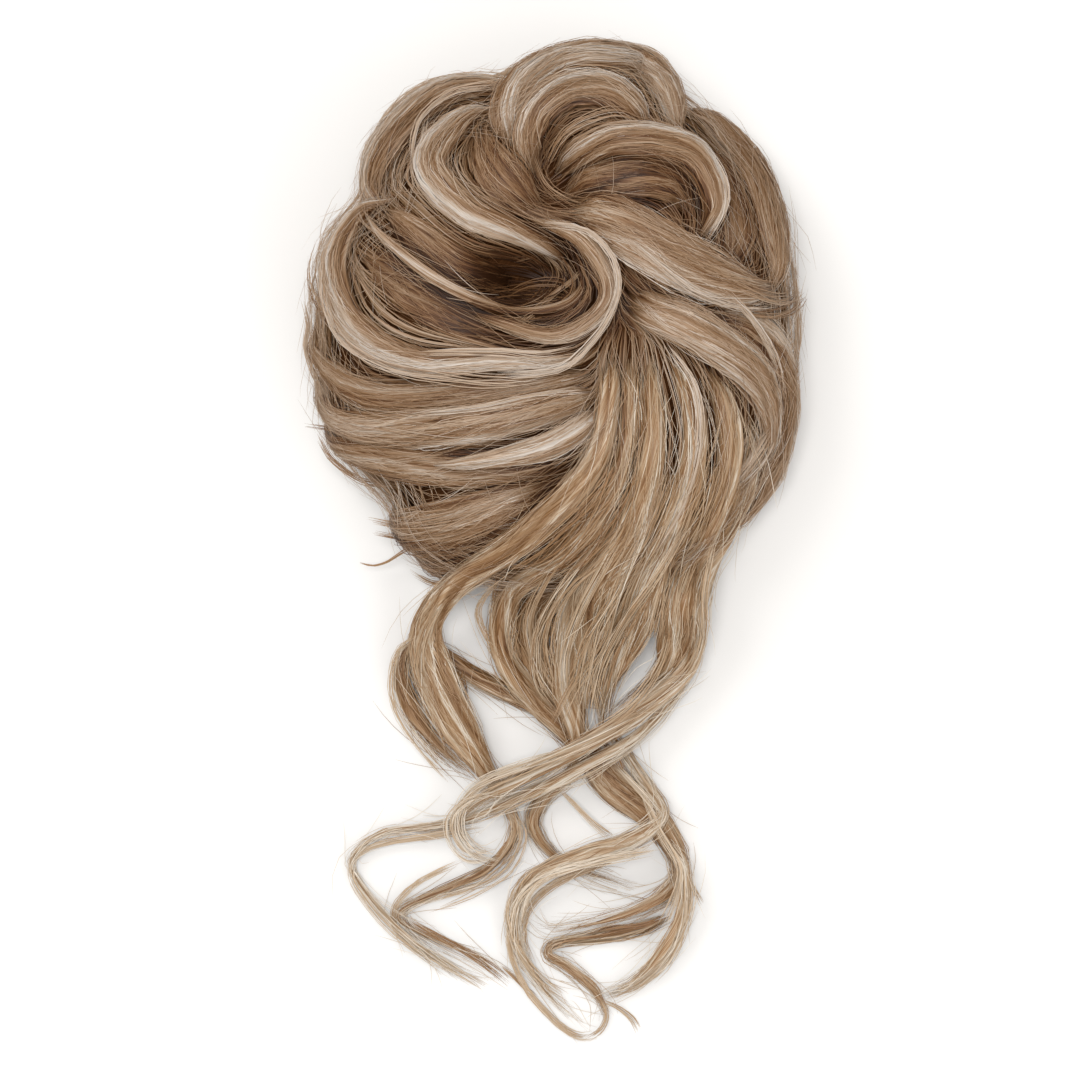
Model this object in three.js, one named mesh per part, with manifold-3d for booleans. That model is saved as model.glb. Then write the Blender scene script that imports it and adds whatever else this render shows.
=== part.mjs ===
// Top knot hairpiece: a messy bun of wound locks sewn on an elastic band, with loose curls
// trailing from it. It lies on a level surface with the band underneath.
// Millimetres, +Z up, +Y towards the crown loop, the curls trail towards -Y.
// Origin: centre of the band's opening, at the surface that the piece rests on.
import * as THREE from "three";
import { mergeVertices } from "three/addons/utils/BufferGeometryUtils.js";
import Module from "manifold-3d";

// ---- driving dimensions (mm) ----
const GAP = 0.35; // clearance kept between neighbouring locks
const BAND_HOLE = 50; // relaxed opening of the elastic band, across
const BAND_WIDTH = 9; // radial width of the covered elastic
const BAND_HEIGHT = 7; // how thick the covered elastic is
const BAND_SIDES = 28;
const BELT_Z = 22; // height of the bun's widest belt
const CROWN_RISE = 30; // how far the crown stands over the belt
const CROWN_POWER = 2.4; // 2 is an ellipse, more is flatter on top
const CORE_UNDER = 8.5; // core's surface below the line that the locks follow
const CORE_FOOT = 0.74; // core's outline where it meets the surface, as a share of the belt's
const CORE_BELT = 0.87;
const HOLLOW_ROOF = 19; // height of the hollow for the wearer's own bun
const STEP = 11.5; // longest step along a lock
const TURN = 34; // most degrees that a lock turns in one step
// The two dips in the crown: the swirl's eye, and the notch behind the crown loop.
const DIPS = [
  { x: -2.3, y: 8.9, rx: 11, ry: 8, depth: 17 },
  { x: 2.7, y: 39.2, rx: 6, ry: 6, depth: 8 },
];
// Outline of the bun's belt seen from above: angle from +X in degrees, radius.
const OUTLINE_ROWS = [
  [0, 69.9], [40, 70.5], [61, 73.4], [80, 76.8], [90, 73.9], [105, 69.9], [118, 72.2], [131, 71.9],
  [149, 65.3], [164, 69.6], [180, 69.9], [196, 71.1], [212, 73.4], [227, 72.8], [241, 80.3], [254, 80.3],
  [270, 79.7], [301, 80.3], [315, 79.1], [326, 76.2], [343, 71.6], [360, 69.9],
];

// Locks, top of the pile first. Columns of bun: x, y, lift, width, thick, where lift is the
// height of the lock's middle over the crown's surface. Columns of free: x, y, z, width, thick.
// A lock that has both runs over the bun and then leaves it.
const LOCKS = [
  { name: "centre_curl", tone: "pale",
    bun: [[-54.0, 28.1, 5, 2.4, 4], [-47.7, 20.0, 6, 2.9, 4], [-29.7, 6.0, 5, 3.2, 5], [-10.9, -1.5, 2, 2.4, 4], [5.2, 1.4, 3, 2.4, 4], [8.4, 6.6, 3, 2.1, 3.5], [7.5, 12.3, 3, 1.8, 3.5]],
  },
  { name: "centre_swirl", tone: "pale",
    bun: [[-6.7, 25.4, 0, 2.1, 3.5], [7.4, 20.1, 7, 4.4, 6], [15.6, 6.5, 9, 5.0, 6], [14.1, -0.6, 8, 5.0, 6], [0.9, -8.4, 5, 4.4, 6], [-22.5, -1.4, 1.5, 2.4, 4]],
  },
  { name: "left_sweep_pale", tone: "pale",
    bun: [[13.7, -27.8, -4, 4.1, 5], [6.9, -34.2, 4, 7.1, 6], [-2.4, -39.3, 7, 7.7, 7], [-25.0, -43.5, 5, 3.5, 5], [-34.5, -44.5, 3, 2.4, 4]],
  },
  { name: "right_curl", tone: "honey",
    bun: [[54.7, -28.2, -7, 4.7, 6], [57.3, -38.5, -4, 7.1, 7], [55.5, -50.5, -3, 7.7, 7], [50.7, -61.7, -2, 7.7, 7], [44.9, -73.0, -3, 7.7, 7]],
    free: [[41.5, -83.4, 24.0, 7.7, 7], [41.3, -93.4, 16.0, 7.7, 7], [38.8, -102.8, 13.0, 7.7, 6], [23.8, -115.9, 15.5, 7.7, 5], [8.7, -125.3, 18.5, 6.5, 5], [-7.9, -134.7, 12.5, 5.3, 5], [-24.0, -143.4, 9.0, 4.1, 4], [-27.9, -149.3, 7.5, 3.5, 4], [-21.1, -158.5, 7.0, 2.4, 3], [-15.9, -158.5, 7.0, 1.5, 2.5]],
  },
  { name: "left_loop", tone: "pale",
    bun: [[-46.1, 32.1, 0, 4.9, 5], [-53.6, 29.4, 3, 7.1, 6], [-62.6, 13.9, 4, 9.2, 7], [-57.2, -4.4, 4, 10.6, 7], [-39.2, -15.2, 2, 7.8, 6], [-15.1, -15.0, 2, 5.3, 6], [5.8, -14.7, 0, 4.2, 5], [10.9, -10.5, -4, 3.2, 4]],
  },
  { name: "upper_left_lock", tone: "pale",
    bun: [[-14.1, 57.1, -5, 6.8, 6], [-24.9, 55.1, 1, 8.9, 7], [-35.0, 40.7, 5, 10.1, 8], [-24.1, 26.6, 5, 8.5, 7], [-13.7, 22.5, 4, 6.8, 6], [1.0, 16.4, 2, 3.7, 5], [3.6, 11.6, 0, 2.8, 4]],
  },
  { name: "right_sweep", tone: "pale",
    bun: [[4.1, 27.8, -6, 9.5, 6], [13.1, 26.0, 1, 14.9, 7], [23.2, 20.7, 4, 17.6, 8], [34.5, 13.8, 4, 17.6, 8], [46.0, 8.1, 3, 15.6, 8], [56.5, 5.7, 1, 12.2, 7], [64.5, 7.4, -2, 8.2, 6]],
  },
  { name: "right_loop", tone: "pale",
    bun: [[0.7, 38.7, -6, 6.8, 6], [8.7, 45.2, 1, 8.9, 7], [18.8, 47.9, 5, 10.1, 8], [39.2, 43.6, 7, 10.1, 8], [45.5, 28.6, 4, 6.1, 7], [41.6, 20.5, 0, 4.0, 5]],
  },
  { name: "lower_right_sweep", tone: "pale",
    bun: [[19.5, 5.7, -7, 6.4, 6], [27.3, -0.2, 0, 10.6, 7], [37.1, -4.6, 4, 12.7, 8], [55.9, -17.5, 3, 11.3, 8], [61.1, -26.0, 1, 9.2, 7], [62.2, -35.6, -1, 7.8, 6], [59.7, -45.3, -4, 5.6, 5]],
  },
  { name: "fall_mid_curl", tone: "honey",
    bun: [[21.7, -12.6, -7, 4.1, 6], [21.6, -24.8, -1, 5.9, 7], [20.8, -37.2, 1, 6.5, 7], [17.7, -49.1, 2, 7.1, 8], [11.5, -59.8, 2, 7.7, 8], [3.0, -68.6, 1, 7.7, 8]],
    free: [[-5.8, -75.0, 31.0, 8.3, 7], [-12.8, -81.7, 21.0, 8.3, 7], [-15.0, -97.7, 10.0, 8.0, 6], [-5.3, -112.5, 6.0, 8.3, 5], [7.0, -124.8, 5.0, 7.7, 5], [17.3, -137.2, 4.0, 10.6, 5], [29.7, -147.3, 3.6, 9.4, 5], [37.3, -160.8, 3.8, 6.5, 5], [35.5, -167.2, 4.5, 5.9, 5], [22.0, -175.0, 6.0, 4.7, 4.5], [4.4, -179.8, 5.0, 4.1, 4], [-2.1, -180.2, 4.0, 2.9, 4], [-9.7, -172.4, 2.2, 1.5, 3]],
  },
  { name: "fall_left_curl", tone: "honey",
    bun: [[16.6, -11.5, -7, 4.7, 6], [16.2, -22.5, -1, 7.1, 7], [10.9, -44.6, 3, 8.8, 8], [-6.1, -62.9, 2, 9.4, 8], [-16.1, -69.8, 0, 9.4, 8]],
    free: [[-25.2, -76.1, 28.0, 8.8, 7], [-32.9, -83.5, 18.0, 8.8, 7], [-36.8, -91.2, 12.0, 9.4, 7], [-36.6, -99.4, 10.0, 11.2, 6], [-30.2, -115.8, 9.5, 12.4, 6], [-20.9, -131.8, 6.0, 7.7, 5], [-12.4, -145.5, 3.5, 4.1, 4], [-11.5, -152.0, 3.5, 4.1, 4], [-19.7, -162.9, 3.0, 3.5, 4], [-28.0, -167.0, 2.6, 3.2, 4], [-45.9, -176.2, 2.2, 2.7, 3.5], [-35.6, -183.0, 2.2, 3.8, 3.5], [-19.1, -190.9, 2.0, 2.7, 3], [-13.6, -195.1, 1.5, 1.2, 2.5]],
  },
  { name: "fall_centre_curl", tone: "honey",
    bun: [[26.9, -12.0, -7, 4.7, 6], [27.9, -24.4, -1, 7.1, 7], [27.9, -37.2, 1, 8.3, 8], [25.9, -49.9, 2, 9.4, 8], [21.8, -62.6, 2, 11.2, 8]],
    free: [[15.0, -74.6, 36.0, 15.9, 8], [10.0, -86.3, 26.0, 17.1, 8], [4.9, -107.4, 15.0, 11.2, 6], [6.7, -131.0, 9.5, 4.7, 5], [-3.5, -142.8, 4.0, 5.3, 5], [-5.9, -149.0, 3.4, 5.3, 5], [1.5, -159.7, 2.6, 4.1, 4], [18.2, -166.2, 2.4, 5.3, 4], [30.0, -170.9, 2.2, 1.8, 3]],
  },
  { name: "fall_right_curl", tone: "pale",
    bun: [[33.2, -12.6, -7, 4.7, 6], [37.9, -23.2, -2, 7.1, 7], [40.2, -34.6, 0, 8.3, 8], [39.1, -46.2, 1, 8.8, 8], [34.6, -57.5, 1, 9.4, 8], [29.4, -68.4, 0, 10.0, 8]],
    free: [[26.0, -79.8, 32.0, 11.2, 7], [22.8, -90.4, 23.0, 11.2, 7], [18.6, -99.8, 17.0, 9.4, 6], [14.6, -117.0, 10.0, 4.7, 5], [17.4, -130.2, 3.0, 2.4, 4]],
  },
  { name: "far_left_curl", tone: "pale",
    free: [[40.8, -97.2, 6.0, 2.1, 3.5], [38.4, -106.5, 7.5, 3.2, 4], [26.3, -121.0, 11.5, 4.7, 4.5], [8.1, -132.0, 13.0, 5.3, 4.5], [-11.7, -142.0, 8.0, 4.4, 4], [-30.9, -149.0, 3.5, 3.5, 4], [-50.9, -152.0, 2.8, 2.9, 3.5], [-59.8, -160.3, 2.4, 2.1, 2.5], [-56.5, -167.1, 2.4, 1.8, 2.5], [-45.2, -179.4, 6.2, 1.8, 2.5], [-28.9, -192.1, 2.2, 1.8, 2.5], [-13.6, -197.8, 1.5, 0.9, 2]],
  },
  { name: "bottom_coil", tone: "pale",
    free: [[17.4, -122.6, 2.4, 2.4, 3.5], [25.8, -134.8, 5.0, 3.5, 4], [31.9, -145.9, 10.0, 4.7, 4], [20.1, -154.6, 11.0, 7.1, 4.5], [10.2, -157.9, 10.0, 7.7, 4.5], [-8.2, -166.7, 7.0, 5.3, 4], [-11.2, -182.5, 4.0, 3.8, 4], [-3.2, -197.4, 2.5, 2.7, 3], [10.9, -209.8, 1.6, 1.2, 2.5]],
  },
  { name: "bottom_right_curl", tone: "pale",
    free: [[33.6, -153.3, 9.0, 1.8, 3], [38.0, -160.9, 10.0, 2.9, 3.5], [36.1, -178.8, 6.0, 5.0, 3.5], [25.0, -194.7, 3.0, 5.0, 3.5], [11.5, -201.0, 2.0, 1.5, 2.5]],
  },
  { name: "inner_curl", tone: "brown",
    bun: [[16.9, -67.8, -9, 4.1, 5]],
    free: [[9.1, -74.7, 27.0, 8.3, 6], [-4.7, -84.1, 14.0, 10.6, 6], [-5.9, -99.2, 8.0, 9.4, 5], [-1.8, -107.2, 6.5, 7.7, 5], [12.6, -127.7, 6.0, 2.4, 3]],
  },
  { name: "fall_outer_curl", tone: "honey",
    bun: [[43.5, -15.3, -7, 5.3, 6], [48.3, -25.6, -3, 7.7, 7], [50.4, -37.5, -1, 8.8, 7], [49.0, -49.5, 0, 8.8, 7], [44.6, -60.6, 0, 9.4, 7], [39.9, -71.3, -1, 9.4, 7]],
    free: [[36.2, -82.8, 28.0, 10.9, 7], [35.1, -93.4, 19.0, 10.6, 7], [32.3, -102.8, 13.0, 8.3, 6], [15.0, -119.0, 3.0, 2.4, 4]],
  },
  { name: "left_sweep_middle", tone: "pale",
    bun: [[13.8, -24.0, -6, 6.5, 6], [1.8, -27.1, 0, 10.0, 7], [-12.3, -31.1, 2, 11.8, 8], [-26.5, -33.3, 2, 11.8, 8], [-40.7, -33.7, 1, 11.2, 8], [-53.8, -33.2, 0, 10.0, 7], [-61.9, -30.7, -1, 8.3, 6], [-66.1, -24.1, -7.6, 7.1, 6], [-67.3, -19.3, -14.6, 5.9, 5], [-66.7, -15.4, -24.6, 3.8, 5]],
  },
  { name: "left_sweep_lower", tone: "honey",
    bun: [[5.3, -41.6, -6, 5.8, 6], [-6.7, -43.9, -3, 9.1, 6], [-20.9, -44.8, -2, 11.0, 7], [-35.1, -44.1, -1, 12.3, 7], [-57.9, -39.3, -1, 9.1, 6], [-62.8, -36.6, -2, 7.8, 5], [-64.3, -31.4, -12.6, 6.2, 5], [-63.0, -29.4, -24.2, 4.2, 4.5]],
  },
  { name: "left_sweep_upper", tone: "honey",
    bun: [[10.4, -18.4, -6, 5.8, 6], [-1.0, -21.1, -2, 7.8, 6], [-27.9, -25.0, -1, 9.7, 7], [-54.6, -23.3, -1, 9.1, 7], [-68.4, -10.7, -1, 5.2, 5], [-69.5, -2.5, -2, 3.2, 4]],
  },
  { name: "crown_loop_inner", tone: "honey",
    bun: [[-5.0, 37.8, -6, 6.8, 6], [-7.8, 47.6, -1, 8.9, 6], [-3.8, 57.0, 4, 10.8, 7], [5.2, 62.3, 5, 12.2, 7], [14.9, 61.7, 5, 12.2, 7], [22.3, 56.1, 3, 10.8, 7], [27.0, 48.6, -3, 8.9, 6]],
  },
  { name: "crown_loop_outer", tone: "pale",
    bun: [[-11.8, 45.1, -5, 8.7, 6], [-13.8, 54.7, 0, 10.7, 7], [-9.5, 64.2, 2, 12.2, 8], [0.8, 71.7, 2, 12.9, 8], [13.4, 73.5, 2, 12.9, 8], [25.1, 71.9, 1, 12.9, 8], [32.1, 64.0, 0, 12.9, 8], [35.1, 55.4, -2, 11.5, 7], [36.3, 47.7, -6, 9.4, 6]],
  },
  { name: "right_rim", tone: "honey",
    bun: [[36.7, 58.3, -10, 6.1, 5], [40.7, 58.2, -5, 10.0, 6], [47.2, 54.5, -1, 13.0, 7], [54.7, 45.4, 0, 15.3, 8], [60.1, 33.9, 0, 16.1, 8], [63.9, 12.0, -1, 13.0, 7], [61.5, 3.3, -4, 10.0, 6]],
  },
  { name: "right_rim_inner", tone: "brown",
    bun: [[42.2, 49.1, -7, 8.5, 5], [48.4, 41.9, -4, 13.0, 6], [52.8, 20.3, -4, 14.6, 6], [50.4, 12.2, -5, 10.8, 5]],
  },
  { name: "upper_left_rim", tone: "pale",
    bun: [[-9.0, 62.5, -5, 9.2, 6], [-21.1, 64.6, -1, 13.0, 7], [-33.5, 61.7, 0, 15.3, 8], [-49.8, 44.1, 1, 16.1, 8], [-51.8, 34.5, -1, 13.8, 7], [-47.9, 26.2, -5, 9.2, 6]],
  },
  { name: "upper_left_fan", tone: "brown",
    bun: [[-21.0, 54.8, -5, 10.0, 6], [-18.9, 46.3, -2, 15.6, 7], [-15.2, 38.3, -1, 17.0, 7], [-9.2, 31.3, -3, 13.4, 6], [-2.4, 26.5, -7, 7.8, 5]],
  },
  { name: "right_loop_fill", tone: "brown",
    bun: [[2.4, 32.7, -7, 9.5, 6], [13.2, 37.3, -2, 13.6, 6], [25.9, 38.3, 0, 14.9, 6], [35.4, 35.1, -1, 13.6, 6], [40.0, 27.9, -3, 9.5, 6]],
  },
  { name: "petal_lock", tone: "honey",
    bun: [[-49.1, 29.5, -2, 7.8, 6], [-43.1, 25.0, 0, 12.0, 7], [-27.0, 11.5, 0, 11.3, 7], [-17.5, 8.9, -4, 9.2, 6], [-10.7, 8.9, -7, 6.4, 5]],
  },
  { name: "left_loop_fill", tone: "brown",
    bun: [[-56.6, 17.0, -5, 10.4, 6], [-48.9, 13.2, -4, 16.2, 6], [-28.8, -0.2, -5, 16.2, 6], [-10.7, -9.7, -8, 7.4, 5]],
  },
  { name: "nape_lock", tone: "honey",
    bun: [[0.7, -49.5, -8, 6.5, 6], [-9.5, -54.1, -4, 11.7, 7], [-20.4, -58.4, -3, 16.3, 8], [-31.9, -61.5, -3, 17.5, 8], [-41.9, -62.6, -4, 15.0, 7], [-44.9, -59.6, -11.6, 11.7, 6], [-45.7, -54.5, -23.5, 7.2, 5]],
  },
  { name: "nape_under_lock", tone: "brown",
    bun: [[-3.8, -59.8, -9, 5.8, 6], [-13.0, -67.2, -7, 11.0, 7], [-24.0, -71.3, -6, 13.0, 7], [-34.6, -72.2, -5, 11.0, 6], [-38.3, -69.1, -14.8, 9.1, 6], [-40.4, -64.6, -25.7, 5.5, 5]],
  },
  { name: "right_side_lock", tone: "honey",
    bun: [[42.9, 0.0, -6, 7.4, 6], [53.8, -3.3, -3, 11.0, 7], [62.6, -10.5, -2, 13.2, 7], [66.4, -21.1, -1, 12.5, 7], [66.1, -32.6, -1, 12.5, 7], [62.9, -44.6, -2, 11.8, 7], [56.0, -56.2, -3, 10.4, 6], [46.7, -66.1, -4, 8.1, 6]],
  },
  { name: "left_back_curl", tone: "brown",
    free: [[0.9, -117.3, 2.4, 2.4, 3], [-6.8, -114.3, 2.8, 5.3, 4.5], [-23.0, -105.8, 3.0, 5.9, 5], [-36.8, -97.0, 3.0, 5.9, 5], [-42.1, -97.3, 3.2, 4.7, 6], [-45.0, -101.4, 3.5, 5.3, 6], [-41.8, -114.9, 3.3, 7.1, 5.5], [-32.1, -127.6, 2.8, 6.5, 4.5], [-21.5, -136.7, 2.2, 2.9, 3.5]],
  },
  { name: "bottom_centre_curl", tone: "pale",
    free: [[34.5, -176.2, 2.0, 1.8, 2.5], [26.2, -180.0, 2.2, 3.2, 3], [-1.2, -185.3, 2.2, 2.4, 3], [-1.5, -188.0, 2.2, 2.4, 3], [3.5, -190.9, 2.2, 3.2, 3], [14.1, -201.0, 2.0, 2.4, 3], [15.6, -207.5, 1.5, 1.2, 2.5]],
  },
];
// Locks wound round the side, below the belt. Columns: name, start angle, span in degrees,
// z at the start and the end, width, and share of the outline at the start and the end.
const SIDE_LOCKS = [
  ["side_lock_1", -8, 52, 9, 27, 15, 0.9, 0.9],
  ["side_lock_2", 36, 52, 10, 28, 15, 0.9, 0.9],
  ["side_lock_3", 80, 50, 9, 26, 15, 0.9, 0.9],
  ["side_lock_4", 122, 50, 10, 26, 15, 0.9, 0.9],
  ["side_lock_5", 166, 48, 9, 24, 15, 0.9, 0.9],
  ["side_lock_6", 208, 46, 8, 20, 14, 0.9, 0.88],
  ["side_lock_7", 300, 54, 8, 24, 14, 0.86, 0.9],
];
const SIDE_THICK = 7;

const TONES = {
  pale: { color: 0xc9b6a2, roughness: 0.46 },
  honey: { color: 0xa88c70, roughness: 0.48 },
  brown: { color: 0x86694c, roughness: 0.52 },
  core: { color: 0x6f553c, roughness: 0.6 },
  elastic: { color: 0x6b5644, roughness: 0.85 },
};

const wasm = await Module();
wasm.setup();

// ---- the bun's surface ----
function outline(degrees) {
  const a = ((degrees % 360) + 360) % 360;
  for (let i = 1; i < OUTLINE_ROWS.length; i++) {
    const [a0, r0] = OUTLINE_ROWS[i - 1],
      [a1, r1] = OUTLINE_ROWS[i];
    if (a > a1) continue;
    const t = (a - a0) / (a1 - a0);
    return r0 + (r1 - r0) * t * t * (3 - 2 * t);
  }
  return OUTLINE_ROWS[0][1];
}
function crown(x, y) {
  const rho = Math.min(
    Math.hypot(x, y) / outline((Math.atan2(y, x) * 180) / Math.PI),
    1,
  );
  let z = BELT_Z + CROWN_RISE * Math.sqrt(Math.max(0, 1 - rho ** CROWN_POWER));
  for (const d of DIPS)
    z -=
      d.depth *
      Math.exp(-((x - d.x) ** 2 / (2 * d.rx ** 2)) - (y - d.y) ** 2 / (2 * d.ry ** 2));
  return z;
}
// Outward direction on the bun: level at the belt, upright on top.
function outward(x, y, z) {
  const d = 1.5;
  const n = new THREE.Vector3(
    (crown(x - d, y) - crown(x + d, y)) / (2 * d),
    (crown(x, y - d) - crown(x, y + d)) / (2 * d),
    1,
  );
  const flat = Math.hypot(n.x, n.y);
  if (flat > 2.2) {
    n.x *= 2.2 / flat;
    n.y *= 2.2 / flat;
  }
  return n.normalize();
}

// ---- solids ----
function solid(positions, triangles) {
  const g = new THREE.BufferGeometry();
  g.setAttribute("position", new THREE.Float32BufferAttribute(positions, 3));
  g.setIndex(triangles);
  return geometrySolid(g);
}
function geometrySolid(geometry) {
  geometry.deleteAttribute("normal");
  geometry.deleteAttribute("uv");
  const g = mergeVertices(geometry, 1e-4);
  return new wasm.Manifold(
    new wasm.Mesh({
      numProp: 3,
      vertProperties: new Float32Array(g.attributes.position.array),
      triVerts: new Uint32Array(g.index.array),
    }),
  );
}
function largest(manifold) {
  return manifold
    .decompose()
    .reduce((a, b) => (b.volume() > a.volume() ? b : a));
}

// A lock's stations: a smooth curve through its rows, with width, thickness and outward
// direction carried along, closer together where it bends.
function stations(rows) {
  const curve = new THREE.CatmullRomCurve3(rows.map((r) => r.p), false, "centripetal");
  const out = [];
  const last = rows.length - 1;
  for (let i = 0; i < last; i++) {
    const at = (t) => curve.getPoint((i + t) / last);
    const tan = (t) => curve.getTangent(Math.min(1, (i + t) / last));
    let turn = 0,
      run = 0;
    for (let k = 0; k < 8; k++) {
      turn += tan(k / 8).angleTo(tan((k + 1) / 8));
      run += at(k / 8).distanceTo(at((k + 1) / 8));
    }
    const n = Math.max(1, Math.ceil(Math.max(run / STEP, (turn * 180) / Math.PI / TURN)));
    for (let k = 0; k < n + (i === last - 1 ? 1 : 0); k++) {
      const t = k / n,
        a = rows[i],
        b = rows[i + 1];
      out.push({
        p: at(t),
        t: tan(t).normalize(),
        n: a.n.clone().lerp(b.n, t).normalize(),
        w: a.w + (b.w - a.w) * t,
        h: a.h + (b.h - a.h) * t,
      });
    }
  }
  return out;
}
// The lock itself: a flattened rounded section swept along its stations.
function lockSolid(rows, grow = 0) {
  const list = stations(rows);
  const widest = Math.max(...rows.map((r) => r.w));
  const sides = widest > 8.6 ? 8 : 6;
  const positions = [],
    triangles = [];
  list.forEach((s, i) => {
    const side = new THREE.Vector3().crossVectors(s.t, s.n).normalize();
    const up = new THREE.Vector3().crossVectors(side, s.t).normalize();
    const end = i === 0 ? -grow : i === list.length - 1 ? grow : 0;
    for (let k = 0; k < sides; k++) {
      const a = ((k + 0.5) / sides) * Math.PI * 2;
      const v = s.p
        .clone()
        .addScaledVector(s.t, end)
        .addScaledVector(side, Math.cos(a) * (s.w / 2 + grow))
        .addScaledVector(up, Math.sin(a) * (s.h / 2 + grow));
      positions.push(v.x, v.y, v.z);
    }
    if (i === 0) return;
    for (let k = 0; k < sides; k++) {
      const a = (i - 1) * sides + k,
        b = (i - 1) * sides + ((k + 1) % sides),
        c = i * sides + k,
        d = i * sides + ((k + 1) % sides);
      triangles.push(a, c, b, b, c, d);
    }
  });
  const last = (list.length - 1) * sides;
  for (let k = 1; k < sides - 1; k++) {
    triangles.push(0, k, k + 1, last, last + k + 1, last + k);
  }
  return solid(positions, triangles);
}

function lockRows(lock) {
  const bun = (lock.bun ?? []).map(([x, y, lift, w, h]) => {
    const z = crown(x, y) + lift;
    return { p: new THREE.Vector3(x, y, z), n: outward(x, y, z), w, h };
  });
  const free = (lock.free ?? []).map(([x, y, z, w, h]) => ({
    p: new THREE.Vector3(x, y, z),
    n: new THREE.Vector3(0, 0, 1),
    w,
    h,
  }));
  return [...bun, ...free];
}
function sideRows([, start, span, z0, z1, width, s0, s1]) {
  return [0, 0.25, 0.5, 0.75, 1].map((u) => {
    const a = start + span * u,
      rad = (a * Math.PI) / 180,
      belly = Math.sin(Math.PI * u),
      r = outline(a) * (s0 + (s1 - s0) * u) * (0.93 + 0.07 * belly);
    return {
      p: new THREE.Vector3(r * Math.cos(rad), r * Math.sin(rad), z0 + (z1 - z0) * u),
      n: new THREE.Vector3(Math.cos(rad), Math.sin(rad), 0.15).normalize(),
      w: width * (0.62 + 0.38 * belly),
      h: SIDE_THICK,
    };
  });
}

// The core that the locks are wound round: rings of the outline, and a hollow underneath.
function coreSolid() {
  const around = 30;
  const rings = [
    // share of the outline, height
    [CORE_FOOT, 0], [0.83, 5], [CORE_BELT, 13], [CORE_BELT, BELT_Z - 1],
    [0.85, "crown"], [0.76, "crown"], [0.64, "crown"], [0.46, "crown"], [0.3, "crown"], [0.16, "crown"],
  ];
  const positions = [],
    triangles = [];
  rings.forEach(([share, height], i) => {
    for (let k = 0; k < around; k++) {
      const a = (k / around) * 360,
        rad = (a * Math.PI) / 180,
        r = outline(a) * share,
        x = r * Math.cos(rad),
        y = r * Math.sin(rad);
      positions.push(x, y, height === "crown" ? crown(x, y) - CORE_UNDER : height);
    }
    if (i === 0) return;
    for (let k = 0; k < around; k++) {
      const a = (i - 1) * around + k,
        b = (i - 1) * around + ((k + 1) % around),
        c = i * around + k,
        d = i * around + ((k + 1) % around);
      triangles.push(a, b, c, b, d, c);
    }
  });
  const top = positions.length / 3;
  positions.push(0, 0, crown(0, 0) - CORE_UNDER, 0, 0, 0);
  const last = (rings.length - 1) * around;
  for (let k = 0; k < around; k++) {
    triangles.push(last + k, last + ((k + 1) % around), top);
    triangles.push((k + 1) % around, k, top + 1);
  }
  const band = BAND_HOLE / 2 + BAND_WIDTH + GAP;
  const hollow = new THREE.LatheGeometry(
    [
      [0, -5], [band, -5], [band, BAND_HEIGHT + GAP], [BAND_HOLE / 2, BAND_HEIGHT + GAP],
      [BAND_HOLE / 2 - 1, HOLLOW_ROOF - 4], [BAND_HOLE / 2 - 4, HOLLOW_ROOF], [0, HOLLOW_ROOF],
    ].map(([r, z]) => new THREE.Vector2(r, z)),
    BAND_SIDES,
  ).rotateX(Math.PI / 2);
  return solid(positions, triangles).subtract(geometrySolid(hollow));
}
// The covered elastic: a ring with a flat foot.
function bandSolid() {
  const r = BAND_HOLE / 2,
    w = BAND_WIDTH,
    h = BAND_HEIGHT;
  const ring = new THREE.LatheGeometry(
    [
      [r + 1.5, 0], [r + w - 1.5, 0], [r + w, h * 0.3], [r + w, h * 0.7], [r + w - 2, h],
      [r + 2, h], [r, h * 0.7], [r, h * 0.3], [r + 1.5, 0],
    ].map(([x, z]) => new THREE.Vector2(x, z)),
    BAND_SIDES,
  ).rotateX(Math.PI / 2);
  return geometrySolid(ring);
}

// ---- assembly ----
const group = new THREE.Group();
function addNode(name, manifold, tone) {
  const m = manifold.getMesh();
  const positions = new Float32Array(m.numVert * 3);
  for (let i = 0; i < m.numVert; i++)
    positions.set(m.vertProperties.subarray(i * m.numProp, i * m.numProp + 3), i * 3);
  const g = new THREE.BufferGeometry();
  g.setAttribute("position", new THREE.BufferAttribute(positions, 3));
  g.setIndex(new THREE.BufferAttribute(new Uint32Array(m.triVerts), 1));
  g.computeVertexNormals();
  const mesh = new THREE.Mesh(
    g,
    new THREE.MeshStandardMaterial({ ...TONES[tone], metalness: 0 }),
  );
  mesh.name = name;
  group.add(mesh);
}

const placed = []; // grown copies of every lock so far, each a clearance for those below it
function addLock(name, rows, tone) {
  let body = lockSolid(rows);
  const box = body.boundingBox();
  for (const other of placed) {
    const o = other.box;
    if ([0, 1, 2].some((i) => box.min[i] > o.max[i] || box.max[i] < o.min[i])) continue;
    body = body.subtract(other.body);
  }
  addNode(name, largest(body), tone);
  const grown = lockSolid(rows, GAP);
  placed.push({ body: grown, box: grown.boundingBox() });
}
for (const lock of LOCKS) addLock(lock.name, lockRows(lock), lock.tone);
for (const row of SIDE_LOCKS) addLock(row[0], sideRows(row), "honey");
let core = coreSolid();
for (const other of placed) core = core.subtract(other.body);
addNode("bun_core", largest(core), "core");
addNode("elastic_band", bandSolid(), "elastic");

export default group;
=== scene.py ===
# Top knot hairpiece: a messy bun of wound locks on an elastic band, with loose curls trailing
# from it, lying on a pale floor. Every lock is made of single strands over a dense inner body,
# along the same routes and at the same sizes as its solid. Lengths in the tables are
# millimetres, in the part's own frame.
import math

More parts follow.
